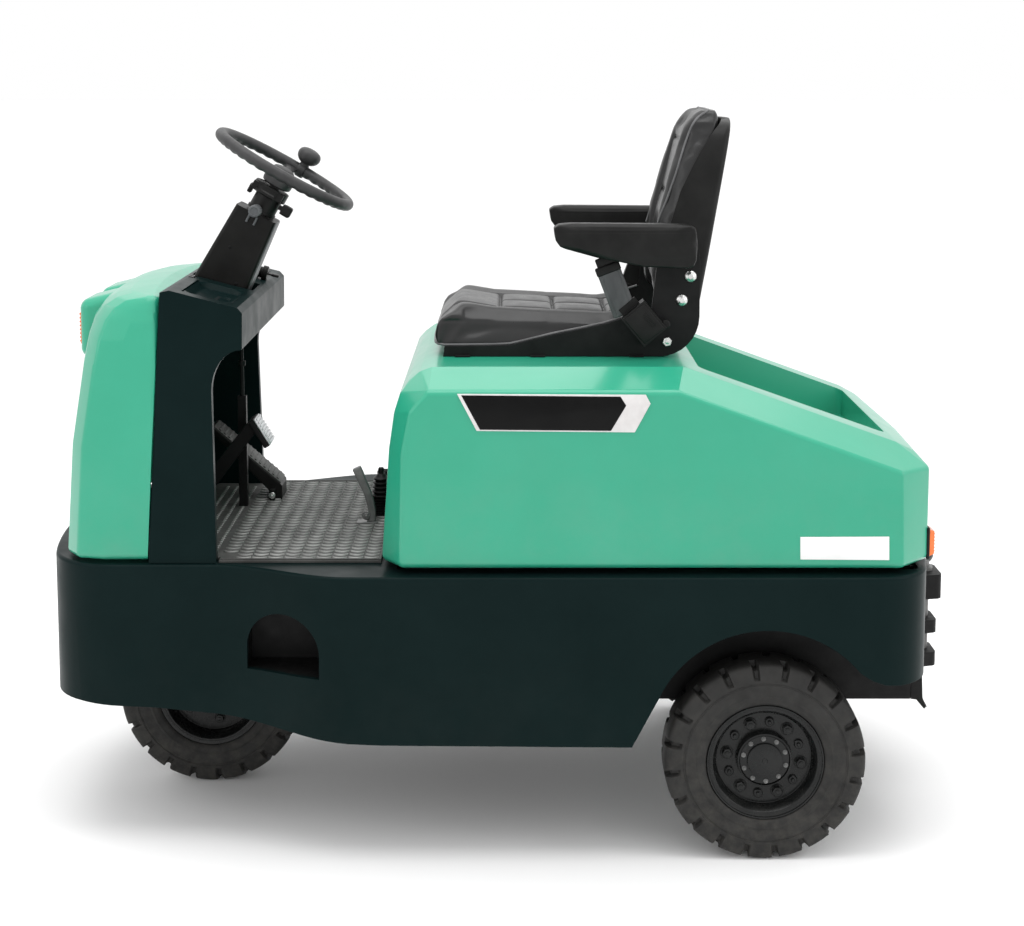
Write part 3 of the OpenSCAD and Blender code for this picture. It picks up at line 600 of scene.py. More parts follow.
def seat_back():
    me = nodes["seat_back"].data.copy()
    o = link(bpy.data.objects.new("seat_back_sewn", me))
    c = coords(me)
    lo, hi = c.min(0), c.max(0)
    mid = (lo + hi) / 2
    c[:, 1] *= 0.93
    # thinned, before the air goes in
    lean = (c[:, 2] - lo[2]) / (hi[2] - lo[2])
    mid_x = (-345 + OX) / 1000 - lean * 0.070
    c[:, 0] = mid_x + (c[:, 0] - mid_x) * 0.86
    c[:, 2] = mid[2] + (c[:, 2] - mid[2]) * 0.985
    put_coords(me, c)
    soften(o, 0.006, 6)
    inflate(o, 4.0, 0.010, normals(o.data)[:, 0] < -0.8)
    calm(o, 4)
    fit_box(o, (lo[0] + 0.003, -0.1885, lo[2] + 0.001), (hi[0], 0.1885, hi[2] + 0.007))
    refine(o)
    c = coords(o.data)
    n = normals(o.data)
    y, z = np.abs(c[:, 1]) * 1000, c[:, 2] * 1000
    facing = np.clip((n[:, 0] - 0.1) / 0.5, 0, 1)
    edge = 112 - 20 * np.clip((z - 1250) / 250, 0, 1)
    run = gate(z, 1122, 1478, 6)
    inner = gate(y - edge, -1e3, -3, 2.0)
    d = run * (-5.0 * bump_at(y - edge, 0, 5.5)) + gate(z, 1122, 1470, 26) * (-11.0 * gate(y - edge, -1e3, 0, 4) + 6.0 * bump_at(y - edge, 36, 26))
    for a, b in ((1124, 1236), (1242, 1350), (1356, 1466)):
        d += inner * gate(z, a, b, 1.2) * 4.0 * pad(np.clip((z - a) / (b - a), 0, 1)) * pad(np.clip(0.5 + 0.5 * y / np.maximum(edge, 1), 0, 1), 0.25)
    for g in (1239, 1353, 1469):
        d -= inner * 3.0 * bump_at(z, g, 4.5)
    c += n * (facing * d / 1000)[:, None]
    # gathers at the head of the cover, by the shell
    rear = np.clip(-n[:, 0] + 0.35, 0, 1)
    c += n * (rear * 0.9 * np.sin(c[:, 1] * 1000 / 4.4) * bump_at(z, 1512, 12) / 1000)[:, None]
    c[:, 1] = np.clip(c[:, 1], -0.190, 0.190)
    back = np.clip((0.25 - n[:, 0]) / 0.6, 0, 1)
    up = np.clip((c[:, 2] - 1.36) / 0.13, 0, 1)
    c[:, 0] -= back * up * up * (3 - 2 * up) * 0.014
    put_coords(o.data, c)
    o.data.materials.clear()
    o.data.materials.append(M["vinyl"])
    shade(o.data, 60)
    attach(o, "hood")
    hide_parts("seat_back")
    tree = surf(o)

    def seen(u, v):
        """Where the line of sight through a spot of the picture meets the cover, mm."""
        d = (AX[0] * ((u - PPX) / F) + AX[1] * ((v - PPY) / F) + AX[2]).normalized()
        hit = tree.ray_cast(CAM, d)[0]
        if hit is None:
            hit = tree.find_nearest(CAM + d * 4.05)[0]
        return Vector((hit.x * 1000 - OX, hit.y * 1000, hit.z * 1000))

    def wrap(pts, lift):
        out = []
        for p in pts:
            hit, nrm, *_ = tree.find_nearest(WORLD @ Vector(p))
            q = hit + nrm * lift / 1000
            out.append((q.x * 1000 - OX, q.y * 1000, q.z * 1000))
        return out

    # welt along the edge of the front panel and over the top
    spots = [(655.5, 232), (660, 218), (664.5, 206), (669, 194), (673.5, 182), (678, 168), (682, 154), (686, 141), (690, 130), (695, 120.5), (701, 114.5), (708, 111.5)]
    near = [seen(u, v) for u, v in spots]
    end = near[-1]
    over = [Vector((end.x - 2, end.y * t, end.z + 8)) for t in np.linspace(0.94, -0.94, 24)]
    ring = near + over + [Vector((q.x, -q.y, q.z)) for q in reversed(near)]
    fine = []
    for a, b in zip(ring, ring[1:]):
        fine += [a.lerp(b, t) for t in (0, 0.25, 0.5, 0.75)]
    path = wrap(fine + [ring[-1]], 0.6)
    for _ in range(6):
        path = [path[0]] + [tuple((path[i - 1][q] + 2 * path[i][q] + path[i + 1][q]) / 4 for q in range(3)) for i in range(1, len(path) - 1)] + [path[-1]]
    k = Kit()
    k.tube(path, 2.6, 8)
    k.done("seat_back_welt", "piping", "hood")
    k = Kit()

    def ahead(yy, zz):
        hit = tree.ray_cast(Vector((0.2, yy / 1000, zz / 1000)), Vector((-1, 0, 0)))[0]
        return (hit.x * 1000 - OX + 0.3, hit.y * 1000, hit.z * 1000) if hit else None

    def half(zz):
        return 112 - 20 * min(1, max(0, (zz - 1250) / 250))

    for s in (-1, 1):
        k.tube([q for q in (ahead(s * half(zz), zz) for zz in np.linspace(1128, 1472, 50)) if q], 1.3, 6)
    for g in (1239, 1353, 1469):
        k.tube([q for q in (ahead(yy, g) for yy in np.linspace(-half(g), half(g), 36)) if q], 1.2, 6)
    k.done("seat_back_seams", "vinyl", "hood")
    return o


def armrest(side):
    s = 1 if side == "left" else -1
    prof = [(-374, 1204), (-385, 1209), (-391, 1222), (-391, 1278), (-388, 1290), (-378, 1295), (-102, 1297), (-92, 1290), (-96, 1264), (-106, 1250), (-200, 1224), (-280, 1208)]
    b = bmesh.new()
    vs = [b.verts.new(WORLD @ Vector((p[0], s * 238.6, p[1]))) for p in prof]
    f = b.faces.new(vs)
    e = bmesh.ops.extrude_face_region(b, geom=[f])
    for g in e["geom"]:
        if isinstance(g, bmesh.types.BMVert):
            g.co.y = s * 0.2894
    bmesh.ops.recalc_face_normals(b, faces=b.faces[:])
    bmesh.ops.bevel(b, geom=[q for q in b.edges if q.calc_face_angle(0) > 1.2], offset=0.0045, segments=3, profile=0.5, affect="EDGES")
    me = bpy.data.meshes.new("armrest_pad_" + side)
    b.to_mesh(me)
    b.free()
    o = link(bpy.data.objects.new("armrest_pad_" + side, me))
    soften(o, 0.0032, 1, 0.4)
    inflate(o, 3.0, 0.0022, np.abs(coords(o.data)[:, 2] - 1.215) < 0.006, 12)
    refine(o)
    c = coords(o.data)
    n = normals(o.data)
    z = c[:, 2] * 1000
    x = c[:, 0] * 1000 - OX
    sidew = np.clip(np.abs(n[:, 1]) * 1.3 - 0.2, 0, 1)
    # moulded line below the top pad
    c -= n * (sidew * gate(x, -376, -112, 4) * 1.1 * bump_at(z, 1281, 1.8) / 1000)[:, None]
    c[:, 1] = np.clip(np.abs(c[:, 1]), 0.2372, 0.2925) * s
    put_coords(o.data, c)
    o.data.materials.clear()
    o.data.materials.append(M["black_plastic"])
    shade(o.data, 60)
    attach(o, "armrest_" + side)
    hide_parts("armrest_" + side)
    return o


seat_cushion()
seat_back()
armrest("left")
armrest("right")


def back_shell():
    """Moulded shell behind the backrest with its side wings."""
    def half(z):
        return float(np.interp(z, (1110, 1220, 1320, 1410, 1450, 1474, 1490, 1500, 1507, 1512), (199, 197, 187, 177, 170, 162, 151, 138, 120, 92)))

    edge = []
    for u, v in ((666, 240), (670.4, 224), (681.3, 189.3), (698.7, 154.5), (712, 133), (721, 119)):
        edge.append(px(u, v, half(px(u, v, 180).z)))
    ez, ex = [q.z for q in reversed(edge)], [q.x for q in reversed(edge)]
    oz, oxs = zip(*sorted(zip(ez, ex)))
    rows = []
    for z in (1110, 1130, 1155, 1180, 1210, 1240, 1270, 1300, 1330, 1360, 1390, 1420, 1446, 1464, 1478, 1488, 1496, 1502, 1507, 1510, 1512):
        rear = -407 - 69 * (z - 1118) / 382
        w = half(z)
        front = float(np.interp(z, oz, oxs))
        rows.append((z, rear, w, max(front, rear + 20)))
    cols = 26
    k = Kit()
    v, f = [], []
    for inner in (0, 1):
        for z, rear, w, front in rows:
            o = 4.0 * inner
            prof = []
            r = 16
            prof.append((front, w - o))
            prof += [(front + (rear + r - front) * t, w - o) for t in (0.33, 0.66)]
            for a in (0, 22, 45, 67, 90):
                prof.append((rear + r - (r - o) * math.sin(RAD(a)), w - r + (r - o) * math.cos(RAD(a))))
            flat = [(rear + o - 5.0 * (1 - (q / max(1.0, w - r)) ** 2), q) for q in np.linspace(w - r - 22, 0, 6)]
            halfp = prof + flat
            line = halfp + [(a, -b) for a, b in reversed(halfp[:-1])]
            cols = len(line)
            v += [(a, b, z - (o * 0.6 if inner and z == rows[-1][0] else 0)) for a, b in line]
    n = len(rows) * cols
    for i in range(len(rows) - 1):
        for j in range(cols - 1):
            a = i * cols + j
            f.append((a, a + 1, a + cols + 1, a + cols))
            f.append((n + a, n + a + cols, n + a + cols + 1, n + a + 1))
    for j in range(cols - 1):
        f.append((j, n + j, n + j + 1, j + 1))
        a = (len(rows) - 1) * cols + j
        f.append((a, a + 1, n + a + 1, n + a))
    for i in range(len(rows) - 1):
        for a in (i * cols, i * cols + cols - 1):
            f.append((a, a + cols, n + a + cols, n + a))
    k.add(v, f)
    for s in (-1, 1):
        k.box((-402, min(s * 192, s * 219), 1120), (-386, max(s * 192, s * 219), 1190), 2)
    o = k.done("seat_back_shell_moulded", "black_plastic", "hood", 50)
    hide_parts("seat_back_shell")
    return o


back_shell()

# ---------------------------------------------------------------- CAD nodes that stay, with their finish
dress("rear_hood", "green", split=48)
dress("front_cowl", "green", split=48)
dress("dash_console", "dark", 0.006, 3)
dress("inner_frame", "steel_black", 0.0015)
dress("wheel_liners", "steel_black")
dress("step_pockets", "steel_black")
dress("floor_plate", "mat", 0.001)
dress("steering_shroud", "grey_plastic", split=50)
dress("steering_column", "black_plastic", 0.0015)
dress("dash_controls", "black_plastic", 0.001)
dress("brake_pedal", "steel_black", 0.002)
dress("accelerator_pedal", "black_plastic", 0.002)
dress("pedal_rod", "steel_black", 0.0015)
dress("latch_lever", "zinc", 0.003, 3)
dress("battery_connector", "black_plastic", 0.004, 3)
dress("headlamps", "glass", 0.0015)
dress("indicator_lamps", "amber", 0.004, 3)
dress("battery_pack", "battery", 0.004)
dress("rear_axle", "steel_black", 0.002)
dress("drive_motor", "steel_black", 0.003)
dress("tow_coupling", "steel_black", 0.003, 3)
dress("tow_pin", "lever_steel", 0.001)
dress("rear_apron", "steel_black", 0.002)
dress("hood_hinges", "steel_black", 0.001)
dress("hood_knuckles", "steel_black", 0.001)
dress("rear_lamps", "red_lens", 0.002)
dress("seat_frame", "steel_black", 0.0015)
dress("belt_retractor", "black_plastic", 0.004, 3)
dress("belt_buckle", "black_plastic", 0.004, 3)
dress("steer_fork", "steel_black", 0.0015)
dress("front_axle", "zinc", 0.001)
for n in ("front_wheel", "rear_wheel_left", "rear_wheel_right"):
    dress(n, "rim", 0.002)


def skirt():
    me = nodes["chassis_skirt"].data.copy()
    b = bmesh.new()
    b.from_mesh(me)
    bmesh.ops.remove_doubles(b, verts=b.verts[:], dist=2e-5)
    bmesh.ops.dissolve_limit(b, angle_limit=0.006, verts=b.verts[:], edges=b.edges[:])
    b.normal_update()
    top, low = [], []
    for e in b.edges:
        if len(e.link_faces) != 2:
            continue
        p = (e.verts[0].co + e.verts[1].co) / 2
        flat = all(abs(w.co.z - 0.6) < 3e-4 for w in e.verts)
        sides = [f.normal for f in e.link_faces if abs(f.normal.z) < 0.3]
        if flat and len(sides) == 1:
            q = sides[0]
            if q.y * math.copysign(1, p.y) > 0.2 or (p.x > 0.8 and q.x > 0.3) or (p.x < -0.8 and q.x < -0.3):
                top.append(e)
        elif not flat and e.calc_face_angle(0) > 0.6 and p.z < 0.58:
            low.append(e)
    bmesh.ops.bevel(b, geom=top, offset=0.014, segments=5, profile=0.5, affect="EDGES", clamp_overlap=True)
    low = [e for e in low if e.is_valid]
    bmesh.ops.bevel(b, geom=low, offset=0.0025, segments=2, profile=0.5, affect="EDGES", clamp_overlap=True)
    b.to_mesh(me)
    b.free()
    me.materials.clear()
    me.materials.append(M["dark"])
    shade(me, 35)
    o = link(bpy.data.objects.new("chassis_skirt_rounded", me))
    w = o.modifiers.new("normals", "WEIGHTED_NORMAL")
    w.weight = 60
    w.keep_sharp = True
    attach(o, "chassis")
    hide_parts("chassis_skirt")


skirt()

# ---------------------------------------------------------------- floor mat
# ribs and dots in mat_rib, a lighter colour that paints the highlight on their tops
k = Kit()
for i in range(10):
    for j in range(-14, 15):
        cx, cy = 287 + 33.5 * i, 26.0 * j
        if cx > 560 and abs(cy) > 330:
            continue
        v, f = [], []
        segs = 8
        for s in range(segs + 1):
            t = s / segs * 2 - 1
            x = cx + 15.4 * t
            y = cy + 6.5 * (1 - t * t) - 3
            hw = 3.9 * math.sqrt(max(0.0, 1 - 0.86 * t * t))
            v += [(x, y - hw, 605.9), (x, y - hw * 0.45, 608.4), (x, y + hw * 0.45, 608.4), (x, y + hw, 605.9)]
        for s in range(segs):
            a, b2 = 4 * s, 4 * s + 4
            for q in range(4):
                f.append((a + q, a + (q + 1) % 4, b2 + (q + 1) % 4, b2 + q))
        f.append((3, 2, 1, 0))
        f.append(tuple(4 * segs + q for q in range(4)))
        k.add(v, f)
k.done("floor_ribs", "mat_rib", "chassis", 30)
k = Kit()
for i in range(4):
    for j in range(-19, 20):
        x, y = 622 + 22 * i, 16.5 * j
        k.lathe([(4.2, 605.9), (3.2, 607.8), (0, 608.4)], Matrix.Translation((x, y, 0)), 8)
k.done("floor_dots", "mat_rib", "chassis", 30)
k = Kit()
k.box((266, -383, 605.8), (272, 383, 609.5), 1.2)
for y in (-381, 376):
    k.box((268, y, 605.8), (600, y + 5, 609), 1.2)
k.done("floor_trim", "mat", "chassis")

# ---------------------------------------------------------------- strip and plate on the hood side


def plate(name, spots, y, thick, mat, body="hood", lift=0.0):
    pts = [px(u, v, y) for u, v in spots]
    k = Kit()
    k.prism([(p.x, p.z) for p in pts], y - 2.0, y + thick + lift, 0.5, 2)
    return k.done(name, mat, body)


Y_SIDE = 476.0
plate("strip_border", [(457.0, 393.9), (645.9, 394.8), (650.6, 403.7), (634.8, 432.3), (476.6, 430.9)], Y_SIDE, 1.6, "silver")
plate("strip_field", [(461.2, 395.2), (620.5, 396.5), (626.2, 405.5), (611.0, 430.7), (479.9, 429.6)], Y_SIDE, 2.6, "gloss_black")
plate("blank_label", [(800.4, 537.0), (889.2, 536.6), (889.2, 560.0), (800.4, 559.4)], 477.5, 1.4, "white")

# ---------------------------------------------------------------- steering wheel
TILT = RAD(27)


def column(t):
    z = Vector((-math.sin(TILT), 0, math.cos(TILT)))
    x = Vector((math.cos(TILT), 0, math.sin(TILT)))
    o = Vector((630, 0, 1158)) + z * t
    m = Matrix.Identity(4)
    y = Vector((0, 1, 0))
    for r in range(3):
        m[r][0], m[r][1], m[r][2], m[r][3] = x[r], y[r], z[r], o[r]
    return m


PIVOT = column(150) @ Vector((0, 0, 0))


def wheel_frame(t):
    a = RAD(30)
    z = Vector((-math.sin(a), 0, math.cos(a)))
    x = Vector((math.cos(a), 0, math.sin(a)))
    o = PIVOT + z * t
    m = Matrix.Identity(4)
    for r in range(3):
        m[r][0], m[r][1], m[r][2], m[r][3] = x[r], (0, 1, 0)[r], z[r], o[r]
    return m


def steering_wheel():
    m = wheel_frame(122.4)
    k = Kit()
    R, r, nu, nv = 159.5, 13.0, 288, 24
    v, f = [], []
    for i in range(nu):
        a = 2 * math.pi * i / nu
        for j in range(nv):
            p = 2 * math.pi * j / nv
            under = max(0.0, math.cos(p + math.pi * 0.56)) ** 1.2
            g = r - 2.0 * under * (0.5 + 0.5 * math.cos(40 * a)) ** 1.4
            v.append(((R + g * math.cos(p)) * math.cos(a), (R + g * math.cos(p)) * math.sin(a), g * math.sin(p)))
            f.append((i * nv + j, ((i + 1) % nu) * nv + j, ((i + 1) % nu) * nv + (j + 1) % nv, i * nv + (j + 1) % nv))
    k.add(v, f, m)
    for a in (30, 150, 270):
        rot = m @ Matrix.Rotation(RAD(a), 4, "Z")
        v, f = [], []
        secs = 9
        for s in range(secs + 1):
            t = s / secs
            x = 22 + t * 134
            z = -20 + 15 * t ** 1.5
            hw = 15 - 5.0 * math.sin(math.pi * min(1, t * 0.95))
            if t > 0.85:
                hw += 9 * ((t - 0.85) / 0.15) ** 2
            th = 5.2
            ring = []
            for q in range(12):
                w = 2 * math.pi * q / 12
                cy, cz = math.cos(w), math.sin(w)
                ring.append((x, hw * math.copysign(abs(cy) ** 0.55, cy), z + th * math.copysign(abs(cz) ** 0.55, cz)))
            v += ring
        for s in range(secs):
            for q in range(12):
                f.append((s * 12 + q, s * 12 + (q + 1) % 12, s * 12 + 12 + (q + 1) % 12, s * 12 + 12 + q))
        f.append(tuple(range(11, -1, -1)))
        f.append(tuple(range(secs * 12, secs * 12 + 12)))
        k.add(v, f, rot)
    k.lathe([(0, -80), (12, -80), (12, -44), (28, -43), (33, -40), (34.5, -34), (34.5, -12), (32, -7), (28, -5), (27.4, -6.2), (26.4, -6.2), (26, -4), (22, 0.5), (14, 3), (0, 4)], m, 40)
    o = k.done("steering_wheel_grip", "wheel_rubber", "steering_wheel", 40)
    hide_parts("steering_wheel")
    # grip knob on a swivel clamped to the rim
    k = Kit()
    km = m @ Matrix.Translation((-22, -158, 0))
    prof = [(0, 8), (12.5, 8), (13, 12), (11, 15), (11, 17.5), (15.5, 19), (20.5, 22.5), (24.5, 27), (26.8, 32), (27.6, 37), (27, 42), (24.8, 46.5), (20.8, 50.2), (15, 52.8), (8, 54.2), (0, 54.6)]
    k.lathe(prof, km, 36)
    k.lathe([(13.4, -9), (16.6, -9), (17.4, -6), (17.4, 6), (16.6, 9), (13.4, 9)], m @ Matrix.Translation((-22, -158, 0)) @ Matrix.Rotation(RAD(90), 4, "Y") @ Matrix.Rotation(RAD(8), 4, "X"), 28)
    o = k.done("spinner_grip", "wheel_rubber", "steering_wheel", 40)
    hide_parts("spinner_knob")


steering_wheel()

# saddle, cap and lever of the column
m = wheel_frame(0)
k = Kit()
v, f = [], []
sec = ((36.5, 55), (45, 52), (48.5, 55), (49, 60), (46, 63), (45.5, 70), (43.5, 75), (36.5, 75.5))
for i in range(25):
    a = RAD(-105 + 210 * i / 24)
    v += [(rr * math.cos(a), rr * math.sin(a), zz) for rr, zz in sec]
ns = len(sec)
for i in range(24):
    for q in range(ns):
        f.append((i * ns + q, i * ns + (q + 1) % ns, (i + 1) * ns + (q + 1) % ns, (i + 1) * ns + q))
f.append(tuple(range(ns - 1, -1, -1)))
f.append(tuple(24 * ns + q for q in range(ns)))
k.add(v, f, m)
k.box((40, -11, 38), (50, 11, 60), 3, 3, m)
k.lathe([(31, 13), (33.2, 13.5), (33.6, 16), (33.2, 19), (31, 19.5)], m, 48)
k.done("column_saddle", "black_plastic", "chassis", 40)
k = Kit()
k.box((-62, 6.5, 32), (-39, 31.5, 56), 5, 3, m)
k.done("stalk_cover", "black_plastic", "chassis", 40)
k = Kit()
k.lathe([(0, 46.4), (12.6, 46.4), (13.4, 48), (13.7, 79), (12.6, 82.6), (9.4, 83.6), (8.2, 82.4), (0, 82.4)], column(166.5) @ Matrix.Translation((6, 0, 0)) @ Matrix.Rotation(RAD(-90), 4, "X"), 36)
k.done("lever_cap", "lever_grey_and_painted_light", "chassis", 40)
k = Kit()
m = column(0)
for a in (-3, 15):
    k.tube([(m @ Vector(q)) for q in ((a, 46.6, 153), (a, 47.4, 146), (a, 48.2, 134))], 2.6, 10)
k.done("lever_shaft", "lever_grey_and_painted_light", "chassis", 40)

# screws in the cheeks of the shroud
k = Kit()
for s in (-1, 1):
    q = px(230, 247, 48)
    k.dome((q.x, s * 47.4, q.z), (0, s, 0), 3.6, 2.0, 1.4)
    q = px(236, 284, 50)
    k.dome((q.x, s * 49.2, q.z), (0, s, 0), 3.6, 2.0, 1.4)
k.done("shroud_screws", "steel_black", "chassis", 40)

# gussets at the ends of the lower rear plate
k = Kit()
for a, b in ((346, 357.6), (-357.6, -346)):
    k.prism([(-845.6, 300), (-845.6, 368), (-868, 368), (-871, 302), (-881, 281), (-862, 298)], a, b, 0.8, 2)
k.done("apron_gussets", "steel_black", "chassis", 40)

# rear face of the shroud: a lighter grey slab, painted light for the side lit from the seat
k = Kit()
k.prism([(-57.5, -30), (-50.4, -30), (-38.4, 157), (-46, 159)], -38, 38, 2.5, 3, column(0))
k.done("shroud_rear_painted_light", "lever_grey_and_painted_light", "chassis", 40)

# key barrel with its collar, and the key's head
k = Kit()
kp = Matrix.Translation((594, -150, 1155.5)) @ Matrix.Rotation(RAD(-104.4), 4, "Y")
k.lathe([(13.1, 3), (17.5, 4), (17.5, 12), (13.1, 13)], kp, 32)
k.lathe([(13.1, 20), (17.0, 21), (17.0, 31), (15.0, 33), (5, 33.4), (5, 32.4), (0, 32.4)], kp, 32)
k.box((-3.0, -9.5, 42), (3.0, 9.5, 60), 2.4, 3, kp)
k.box((-10, -12, -22), (-2, 12, 6), 3, 3, kp)
k.done("key_barrel", "black_plastic", "chassis", 40)

# dash: moulded pans in the trays, with a shallow slot
for tag, y0, y1 in (("left", 112.5, 319.5), ("right", -329.5, -200.5)):
    mm = Matrix.Translation((632, 0, 1126.2)) @ Matrix.Rotation(RAD(-14.4), 4, "Y")
    k = Kit()
    nx, ny = 26, 44
    v, f = [], []
    for i in range(nx + 1):
        for j in range(ny + 1):
            a, b = i / nx, j / ny
            ex, ey = min(a, 1 - a) * 104, min(b, 1 - b) * (y1 - y0)
            cx, cy = max(0.0, 26 - ex), max(0.0, 26 - ey)
            e = 26 - math.hypot(cx, cy)
            t = min(1.0, max(0.0, e / 14))
            depth = 12.5 * t * t * (3 - 2 * t)
            sx, sy = (a * 104 - 34) / 13, (b * (y1 - y0) - (y1 - y0) * 0.45) / 42
            slot = max(0.0, 1 - (abs(sx) ** 4 + abs(sy) ** 4))
            v.append((-52 + a * 104, y0 + b * (y1 - y0), 22.5 - depth - 5.5 * min(1.0, slot * 2.2)))
    top = len(v)
    v += [(x, y, -1.0) for x, y, z in v[:top]]
    row = ny + 1
    for i in range(nx):
        for j in range(ny):
            a = i * row + j
            f.append((a, a + row, a + row + 1, a + 1))
            f.append((top + a, top + a + 1, top + a + row + 1, top + a + row))
    rim = [j for j in range(row)] + [i * row + ny for i in range(1, nx + 1)] + [nx * row + j for j in range(ny - 1, -1, -1)] + [i * row for i in range(nx - 1, 0, -1)]
    for a, b in zip(rim, rim[1:] + rim[:1]):
        f.append((a, b, top + b, top + a))
    k.add(v, f, mm)
    k.done("dash_pan_" + tag, "dark", "chassis", 40)
k = Kit()
for y in (92, 72, -92, -180):
    k.lathe([(0, -1), (8, -1), (8, 1.2), (6.8, 2.2), (0, 2.4)], Matrix.Translation((697, y, 1165.2)) @ Matrix.Rotation(RAD(-14), 4, "Y"), 24)
k.done("dash_plugs", "gloss_black", "chassis", 40)

# ---------------------------------------------------------------- pedals and floor controls
k = Kit()
e1 = Vector((37, 0, 61)).normalized()
nrm = Vector((-61, 0, 37)).normalized()
base = Vector((543, 0, 773))
pm = Matrix.Identity(4)
for r in range(3):
    pm[r][0], pm[r][1], pm[r][2], pm[r][3] = e1[r], (0, 1, 0)[r], nrm[r], base[r]
k.box((1, -64, -1), (70, 10, 4), 2, 2, pm)
for i in range(8):
    k.box((5 + i * 8.2, -60, 3), (9.6 + i * 8.2, 6, 7), 1.2, 2, pm)
k.done("brake_pad", "pad_silver", "chassis", 40)
k = Kit()
d = Vector((164, 0, 142)).normalized()
nn = Vector((-142, 0, 164)).normalized()
pm = Matrix.Identity(4)
for r in range(3):
    pm[r][0], pm[r][1], pm[r][2], pm[r][3] = d[r], (0, 1, 0)[r], nn[r], Vector((540, 0, 640))[r]
k.box((6, -268, -1), (213, -182, 3.5), 2, 2, pm)
for i in range(14):
    k.box((16 + i * 13.6, -262, 3), (22 + i * 13.6, -188, 6), 1.2, 2, pm)
k.done("accelerator_tread", "mat", "chassis", 40)
k = Kit()
for y in (-286, -164):
    k.hexbolt((562, y, 619), (0, math.copysign(1, y + 225), 0), 10, 6, 8)
k.done("pedal_bolts", "bolt", "chassis", 40)
k = Kit()
stem = [(0, 606.5)]
for i in range(7):
    z0 = 607 + i * 6.0
    stem += [(19, z0), (22.5, z0 + 1.6), (22.5, z0 + 3.6), (19, z0 + 5.2)]
k.lathe(stem + [(0, 649)], Matrix.Translation((294, -25, 0)), 32)
boot = [(0, 648)]
for i in range(5):
    z0 = 649 + i * 9.6
    r = 30 - 1.6 * i
    boot += [(r - 5, z0), (r, z0 + 3), (r, z0 + 5.4), (r - 5, z0 + 8.4)]
k.lathe(boot + [(15, 698), (12, 702), (9, 703), (9, 713), (7, 716), (0, 716)], Matrix.Translation((294, -25, 0)) @ Matrix.Scale(0.74, 4, (1, 0, 0)), 36)
k.box((284, -90, 665), (304, -40, 699), 5, 3)
for i in range(4):
    k.box((282.5, -86 + i * 9, 663.5), (305.5, -82 + i * 9, 700.5), 1.5, 2)
o = k.done("connector_boot", "black_plastic", "chassis", 40)
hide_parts("battery_connector")
# bent lever with a pierced head
k = Kit()
way = [(356.5, 467.5), (359.5, 474), (363, 482), (367, 491), (370.3, 500.5), (372.2, 510), (372, 519), (370, 527), (367, 533)]
mids = [px(u, v, 51) for u, v in way]
wide = [9.5, 9.5, 9.0, 8.4, 8.0, 8.2, 8.8, 9.6, 11.5]
left, right = [], []
for i, q in enumerate(mids):
    a, b = mids[max(0, i - 1)], mids[min(len(mids) - 1, i + 1)]
    t = (b - a).normalized()
    nx, nz = -t.z, t.x
    left.append((q.x + nx * wide[i], max(606.2, q.z + nz * wide[i])))
    right.append((q.x - nx * wide[i], max(606.2, q.z - nz * wide[i])))
k.prism(left + list(reversed(right)), 42, 60, 2.2, 3)
for i in range(3):
    q = mids[0].lerp(mids[2], 0.22 + 0.3 * i)
    k.lathe([(0, 0), (3.4, 0), (3.4, 0.7), (2.6, 1.1), (0, 0.5)], at((q.x, 60, q.z), (0, 1, 0)), 14)
o = k.done("latch_lever_bent", "lever_steel", "chassis", 40)
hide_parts("latch_lever")
k = Kit()
k.hexbolt((mids[-1].x, 60, 624), (0, 1, 0), 12, 7, 10)
k.box((mids[-1].x - 24, 34, 605.5), (mids[-1].x + 22, 68, 610), 1.5)
k.done("lever_pivot", "lever_steel", "chassis", 40)

# ---------------------------------------------------------------- seat hardware
k = Kit()
for s in (-1, 1):
    k.dome((-384, s * 227, 1182), (0, s, 0), 13, 7.5, 5.5)
    k.dome((-366, s * 227, 1131), (0, s, 0), 13, 7.5, 5.5)
    k.hexbolt((-335, s * 227, 1043), (0, s, 0), 18, 9, 0, 0.2)
k.done("seat_bolts", "bolt", "hood", 40)
k = Kit()
for s in (-1, 1):
    for x in (-270, -60, 100):
        k.box((x - 16, min(s * 196, s * 238), 1010), (x + 16, max(s * 196, s * 238), 1014), 1.5)
k.done("seat_rails", "steel_black", "hood", 40)
k = Kit()
for s in (-1, 1):
    k.lathe([(0, 0), (19, 0), (19, 3), (17, 5), (9, 6), (0, 6.2)], at((-378, s * 227, 1240), (0, s, 0)), 32)
k.done("armrest_washers", "steel_black", "hood", 40)

# retractor cover, sleeve and tongue
rm = Matrix.Translation((-282, 227, 1088)) @ Matrix.Rotation(RAD(40), 4, "Y")
k = Kit()
k.box((-27, 44, -36), (27, 49, 32), 2.5, 3, rm)
for i in range(3):
    k.box((-18 + i * 4, 48, -20), (-16.2 + i * 4, 50, 16), 0.8, 2, rm)
k.lathe([(0, 0), (9, 0), (9, 12), (7, 14), (0, 14)], rm @ Matrix.Translation((-34, 24, -34)) @ Matrix.Rotation(RAD(-90), 4, "X"), 20)
k.done("retractor_cover", "black_plastic", "hood", 40)
sm = Matrix.Translation((-243, 227, 1108)) @ Matrix.Rotation(RAD(21), 4, "Y")
k = Kit()
k.box((-25.5, 12.2, -6), (25.5, 20.8, 92), 3, 3, sm)
for x in (-18, 18):
    k.box((x - 0.9, 20.4, 0), (x + 0.9, 21.6, 88), 0.5, 1, sm)
k.done("belt_sleeve", "webbing", "hood", 40)
k = Kit()
k.box((-27, 10.5, 88), (27, 22.5, 108), 4, 3, sm)
k.box((-20, 13, 106), (20, 19, 126), 4, 3, sm)
k.done("belt_tongue", "black_plastic", "hood", 40)
bmx = Matrix.Translation((-262, -244, 1056)) @ Matrix.Rotation(RAD(-20), 4, "Y")
k = Kit()
k.box((-13, -6, 118), (13, 12, 124), 2, 2, bmx)
k.done("buckle_button", "red_plastic", "hood", 40)


